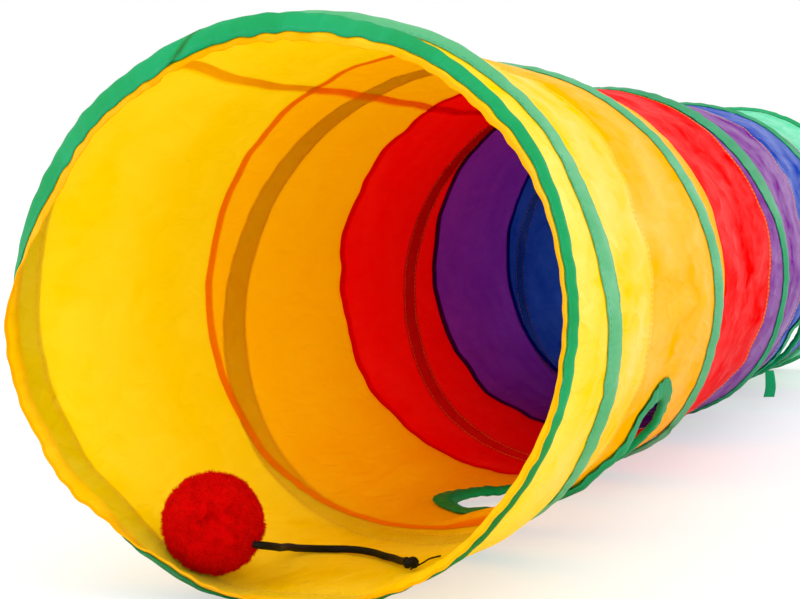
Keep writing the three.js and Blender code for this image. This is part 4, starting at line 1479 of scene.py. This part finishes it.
layers_and_shade_group, given, result = new_group(
    "layers_and_painted_shade",
    [("Colour", COLOUR), ("Layers and shade", FLOAT), ("Slubs", FLOAT)],
    [("Colour", COLOUR)],
)
tree = layers_and_shade_group
power = maths(tree, "ADD", maths(tree, "MULTIPLY", given["Layers and shade"], LAYER_POWER), BARE_POWER)
power = maths(tree, "ADD", power, maths(tree, "MULTIPLY", given["Slubs"], SLUB_POWER))
filtered = new_node(tree, "ShaderNodeGamma", {"Color": given["Colour"], "Gamma": power})
tree.links.new(filtered.outputs[0], result["Colour"])
print("groups", crumple_group.name, "and", layers_and_shade_group.name)

# %% [markdown]
# ## Woven cloth
# Taffeta and tape differ in size and dye, and share the rest. Both have threads and crumple as a
# bumped normal, colours deepened by layers, and light that comes through from the other side. A
# single Principled shader has no thin see-through cloth, so it is mixed with a Translucent one.

# %% Helpers for woven materials
WEAVE_DEPTH = 0.0002


def cloth_map(tree):
    return new_node(tree, "ShaderNodeUVMap", uv_map=CLOTH_MAP).outputs[0]


def mark_of(tree, name):
    return new_node(tree, "ShaderNodeAttribute", attribute_name=name).outputs["Fac"]


def mixed(tree, share, first, second):
    """One colour at a share of 0, the other at 1."""
    return new_node(tree, "ShaderNodeMix", {0: share, 6: first, 7: second}, data_type="RGBA").outputs[2]


def mapped(tree, value, span, target):
    """A value spread from one range over another, and held at its ends."""
    ends = dict(zip(("From Min", "From Max", "To Min", "To Max"), (*span, *target)))
    return new_node(tree, "ShaderNodeMapRange", {"Value": value, **ends}).outputs[0]


def bumped(tree, height, strength, depth, over=None):
    """A normal that follows a height, laid over another normal where one is given."""
    made = new_node(tree, "ShaderNodeBump", {"Height": height, "Strength": strength, "Distance": depth})
    if over is not None:
        tree.links.new(over, made.inputs["Normal"])
    return made.outputs[0]


def woven(tree, pitch, crease_size, weave_strength, fold_strength, fold_depth):
    """The threads and the crumple of a cloth, and the normal that both of them bump."""
    cloth = cloth_map(tree)
    threads = use_group(tree, threads_group, {"Cloth": cloth, "Pitch": pitch})
    crumple = use_group(tree, crumple_group, {"Cloth": cloth, "Size": crease_size})
    weave = bumped(tree, threads["Height"], weave_strength, WEAVE_DEPTH)
    return threads, crumple, bumped(tree, crumple["Height"], fold_strength, fold_depth, weave)


# Layers of cloth and painted shade marks both deepen a colour through this group.
def layered(tree, colour, layers, threads):
    sockets = {"Colour": colour, "Layers and shade": layers, "Slubs": threads["Slubs"]}
    return use_group(tree, layers_and_shade_group, sockets)["Colour"]


def show_thin(tree, face, through, normal, share):
    """A face mixed with a share of the light that comes through the cloth."""
    glow = new_node(tree, "ShaderNodeBsdfTranslucent", {"Color": through, "Normal": normal})
    show(tree, new_node(tree, "ShaderNodeMixShader", {0: share, 1: face.outputs[0], 2: glow.outputs[0]}))


print("woven materials bump their threads by", WEAVE_DEPTH / MM, "mm")

# %% [markdown]
# ## Taffeta
# Thin polyester taffeta shines like satin where light grazes it and glows in its own colour where
# light comes through. In broad patches the cloth is glossier, and its colour is painted paler there,
# a painted sheen. A lap is deeper in colour where the cloth is doubled, and the hem's fold deeper still,
# partly painted shade; the tint mark gives both. The inside has no shine,
# because there the cloth is lit through and a veil of reflected sky would wash out the dye.

# %% Six dyed cloths
TAFFETA = [
    # panel, colour of the reflected light, its painted sheen in paler patches, colour of the light let
    # through, outer shine
    ("yellow", "f6cc00", "fcd830", "ffe600", 0.085),
    ("orange", "fcb800", "ffc414", "ffc000", 0.022),
    ("red", "f00404", "f62a2a", "f40600", 0.004),
    ("purple", "7c2894", "9048a8", "701c88", 0.06),
    ("blue", "2448b4", "4464cc", "0e2870", 0.06),
    ("green", "5fd0a0", "84e0bc", "66dcaa", 0.06),
]
GLOW_SHARE = 0.28
INNER_SHINE = 0.0
SATIN_PATCHES = (0.3, 0.68)
GLOSS_PATCHES = (0.3, 0.7)
TAFFETA_ROUGHNESS = (0.5, 0.3)


def taffeta(name, colour, painted_sheen, through, outer_shine):
    material, tree = new_material(f"{name}_taffeta")
    threads, crumple, normal = woven(
        tree, pitch=0.0007, crease_size=0.016, weave_strength=0.12, fold_strength=0.5, fold_depth=0.002
    )
    # The patches are glossier, and their paler colour is a painted sheen.
    sheen_paint_and_gloss = mapped(tree, crumple["Patches"], SATIN_PATCHES, (0.0, 1.0))
    tone = mixed(tree, sheen_paint_and_gloss, linear(colour), linear(painted_sheen))
    polish = maths(tree, "MULTIPLY", sheen_paint_and_gloss, outer_shine)
    inside = new_node(tree, "ShaderNodeNewGeometry").outputs["Backfacing"]
    shine = new_node(tree, "ShaderNodeMix", {0: inside, 2: polish, 3: INNER_SHINE})
    face = new_node(
        tree,
        "ShaderNodeBsdfPrincipled",
        {
            "Base Color": layered(tree, tone, mark_of(tree, "tint"), threads),
            "Roughness": mapped(tree, crumple["Patches"], GLOSS_PATCHES, TAFFETA_ROUGHNESS),
            "Specular IOR Level": shine.outputs[0],
            "Normal": normal,
        },
    )
    lit = layered(tree, linear(through), mark_of(tree, "layers"), threads)
    show_thin(tree, face, lit, normal, GLOW_SHARE)
    return material


for name, *finish in TAFFETA:
    panels[name].data.materials.append(taffeta(name, *finish))
print("taffeta on", len(TAFFETA), "panels")

# %% [markdown]
# ## Tape
# The tape is a denser weave of the same kind in sea green, with smaller creases. Its colour is deepened
# by a painted shadow along each lap's edge and by painted shade on the ring low on the right,
# and it is paler on the coil's first turns.

# %% Green tape
TAPE_DYE = "04b076"
PALE_TAPE_DYE = "96d8ac"
TAPE_THROUGH = "58cc9c"
TAPE_GLOW_SHARE = 0.3
TAPE_ROUGHNESS = (0.36, 0.52)


def woven_tape():
    material, tree = new_material("green_tape")
    threads, crumple, normal = woven(
        tree, pitch=0.0009, crease_size=0.009, weave_strength=0.2, fold_strength=0.35, fold_depth=0.0008
    )
    # Random patches plus the tint mark, which on tape is painted shade.
    depth = maths(tree, "ADD", crumple["Patches"], mark_of(tree, "tint"))
    # The coil's first turns are paler.
    tone = mixed(tree, mark_of(tree, "paling"), linear(TAPE_DYE), linear(PALE_TAPE_DYE))
    face = new_node(
        tree,
        "ShaderNodeBsdfPrincipled",
        {
            "Base Color": layered(tree, tone, depth, threads),
            "Roughness": mapped(tree, crumple["Patches"], GLOSS_PATCHES, TAPE_ROUGHNESS),
            "Specular IOR Level": 0.14,
            "Normal": normal,
        },
    )
    show_thin(tree, face, linear(TAPE_THROUGH), normal, TAPE_GLOW_SHARE)
    return material


tape_finish = woven_tape()
tape_pieces = [front_tape, end_tape, coil_tape, tail, *bindings.values()]
for piece in tape_pieces:
    piece.data.materials.append(tape_finish)
print("tape on", len(tape_pieces), "pieces")

# %% [markdown]
# ## Thread
# Sewing thread is plain and dull, spun from fibres that catch the light unevenly. At this size a
# fine noise between two shades is enough. It is green on the tape and golden on the panels.

# %% Sewing threads
THREADS = [
    # material, darker and lighter shade, pieces
    ("green_thread", "0f9a72", "35c79b", [tape_thread, binding_thread]),
    ("orange_thread", "e8a020", "f6bc38", [ring_thread, inner_thread]),
    ("yellow_thread", "fac410", "ffd42c", [first_thread]),
]
THREAD_GRAIN = 1500.0


def sewing_thread(name, dark, light):
    material, tree = new_material(name)
    place = new_node(tree, "ShaderNodeTexCoord").outputs["Object"]
    twist = new_node(tree, "ShaderNodeTexNoise", {"Vector": place, "Scale": THREAD_GRAIN, "Detail": 1.0})
    tone = mixed(tree, twist.outputs[0], linear(dark), linear(light))
    show(tree, new_node(tree, "ShaderNodeBsdfPrincipled", {"Base Color": tone, "Roughness": 0.6}))
    return material


for name, dark, light, pieces in THREADS:
    finish = sewing_thread(name, dark, light)
    for piece in pieces:
        piece.data.materials.append(finish)
print("thread in", len(THREADS), "colours")

# %% [markdown]
# ## Yarn and elastic
# Yarn is matt. Its roots and the core between the fibres take a painted shade, which the tip mark gives.
# No two yarn ends took the dye alike, so each has its own shade mark, mottled a little more. Elastic is
# near black, with a faint gloss on the crowns of its strands and the weave of its cover as a fine bump.

# %% Red yarn and black elastic
YARN_DARK = "c80000"
YARN_LIGHT = "ff1004"
YARN_ROOT_SHADE = "c40000"
YARN_GRAIN = 110.0
ELASTIC_DARK = "030303"
ELASTIC_LIGHT = "0e0c0b"
ELASTIC_PITCH = 0.0005
ELASTIC_BUMP = 0.4


def cut_yarn():
    material, tree = new_material("red_yarn")
    place = new_node(tree, "ShaderNodeTexCoord").outputs["Object"]
    mottle = new_node(tree, "ShaderNodeTexNoise", {"Vector": place, "Scale": YARN_GRAIN, "Detail": 2.0})
    dye = maths(tree, "MULTIPLY", maths(tree, "ADD", mottle.outputs[0], mark_of(tree, "shade")), 0.5)
    tone = mixed(tree, dye, linear(YARN_DARK), linear(YARN_LIGHT))
    # Painted shade at the roots of the fibres and on the core.
    shade = mixed(tree, mark_of(tree, "tip"), linear(YARN_ROOT_SHADE), tone)
    sockets = {"Base Color": shade, "Roughness": 0.95, "Specular IOR Level": 0.03}
    show(tree, new_node(tree, "ShaderNodeBsdfPrincipled", sockets))
    return material


def braided_elastic():
    material, tree = new_material("black_elastic")
    threads = use_group(tree, threads_group, {"Cloth": cloth_map(tree), "Pitch": ELASTIC_PITCH})
    tone = mixed(tree, threads["Slubs"], linear(ELASTIC_DARK), linear(ELASTIC_LIGHT))
    normal = bumped(tree, threads["Height"], ELASTIC_BUMP, WEAVE_DEPTH)
    sockets = {"Base Color": tone, "Roughness": 0.6, "Specular IOR Level": 0.15, "Normal": normal}
    show(tree, new_node(tree, "ShaderNodeBsdfPrincipled", sockets))
    return material


pompom.data.materials.append(cut_yarn())
elastic_finish = braided_elastic()
for piece in (cord, knot, thread_end):
    piece.data.materials.append(elastic_finish)
print("yarn on the pompom, elastic on the cord, its knot and the thread end")

# %% [markdown]
# ## Onto the frame
# Each piece rides on the one body and stands for the solids that it dresses, which are hidden.

# %% Ride and replace
DRESSED = [
    # piece, slot, solids that it stands for
    *[(panels[name], f"{name}_cloth", [f"panel_{name}"]) for name, _, _ in PANELS],
    (front_tape, "green_tape", ["casing_front"]),
    (end_tape, "green_tape", ["casing_end"]),
    (coil_tape, "green_tape", [f"casing_turn_{turn}" for turn in (1, 2, 3, 4)]),
    *[(bindings[name], "green_tape", [f"binding_{name}"]) for _, name in holed],
    (tail, "green_tape", ["tape_tail"]),
    (tape_thread, "green_tape", []),
    (inner_thread, "orange_cloth", []),
    (binding_thread, "green_tape", []),
    (ring_thread, "orange_cloth", []),
    (first_thread, "yellow_cloth", []),
    (pompom, "red_yarn", ["pompom"]),
    (cord, "black_elastic", ["pompom_cord"]),
    (knot, "black_elastic", ["cord_knot"]),
    (thread_end, "black_elastic", []),
]
for piece, slot, nodes in DRESSED:
    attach(piece, "root")
    if nodes:
        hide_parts(*nodes)

ON_PANEL = {
    "yellow": [front_tape],
    "orange": [bindings["orange"]],
    "blue": [bindings["blue"], tail],
    "green": [end_tape],
}
for name, _, _ in PANELS:
    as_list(ON_PANEL.get(name, []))
[tuple(point) for point in in_frame(cord_line)]
print("dressed", len(DRESSED), "pieces")
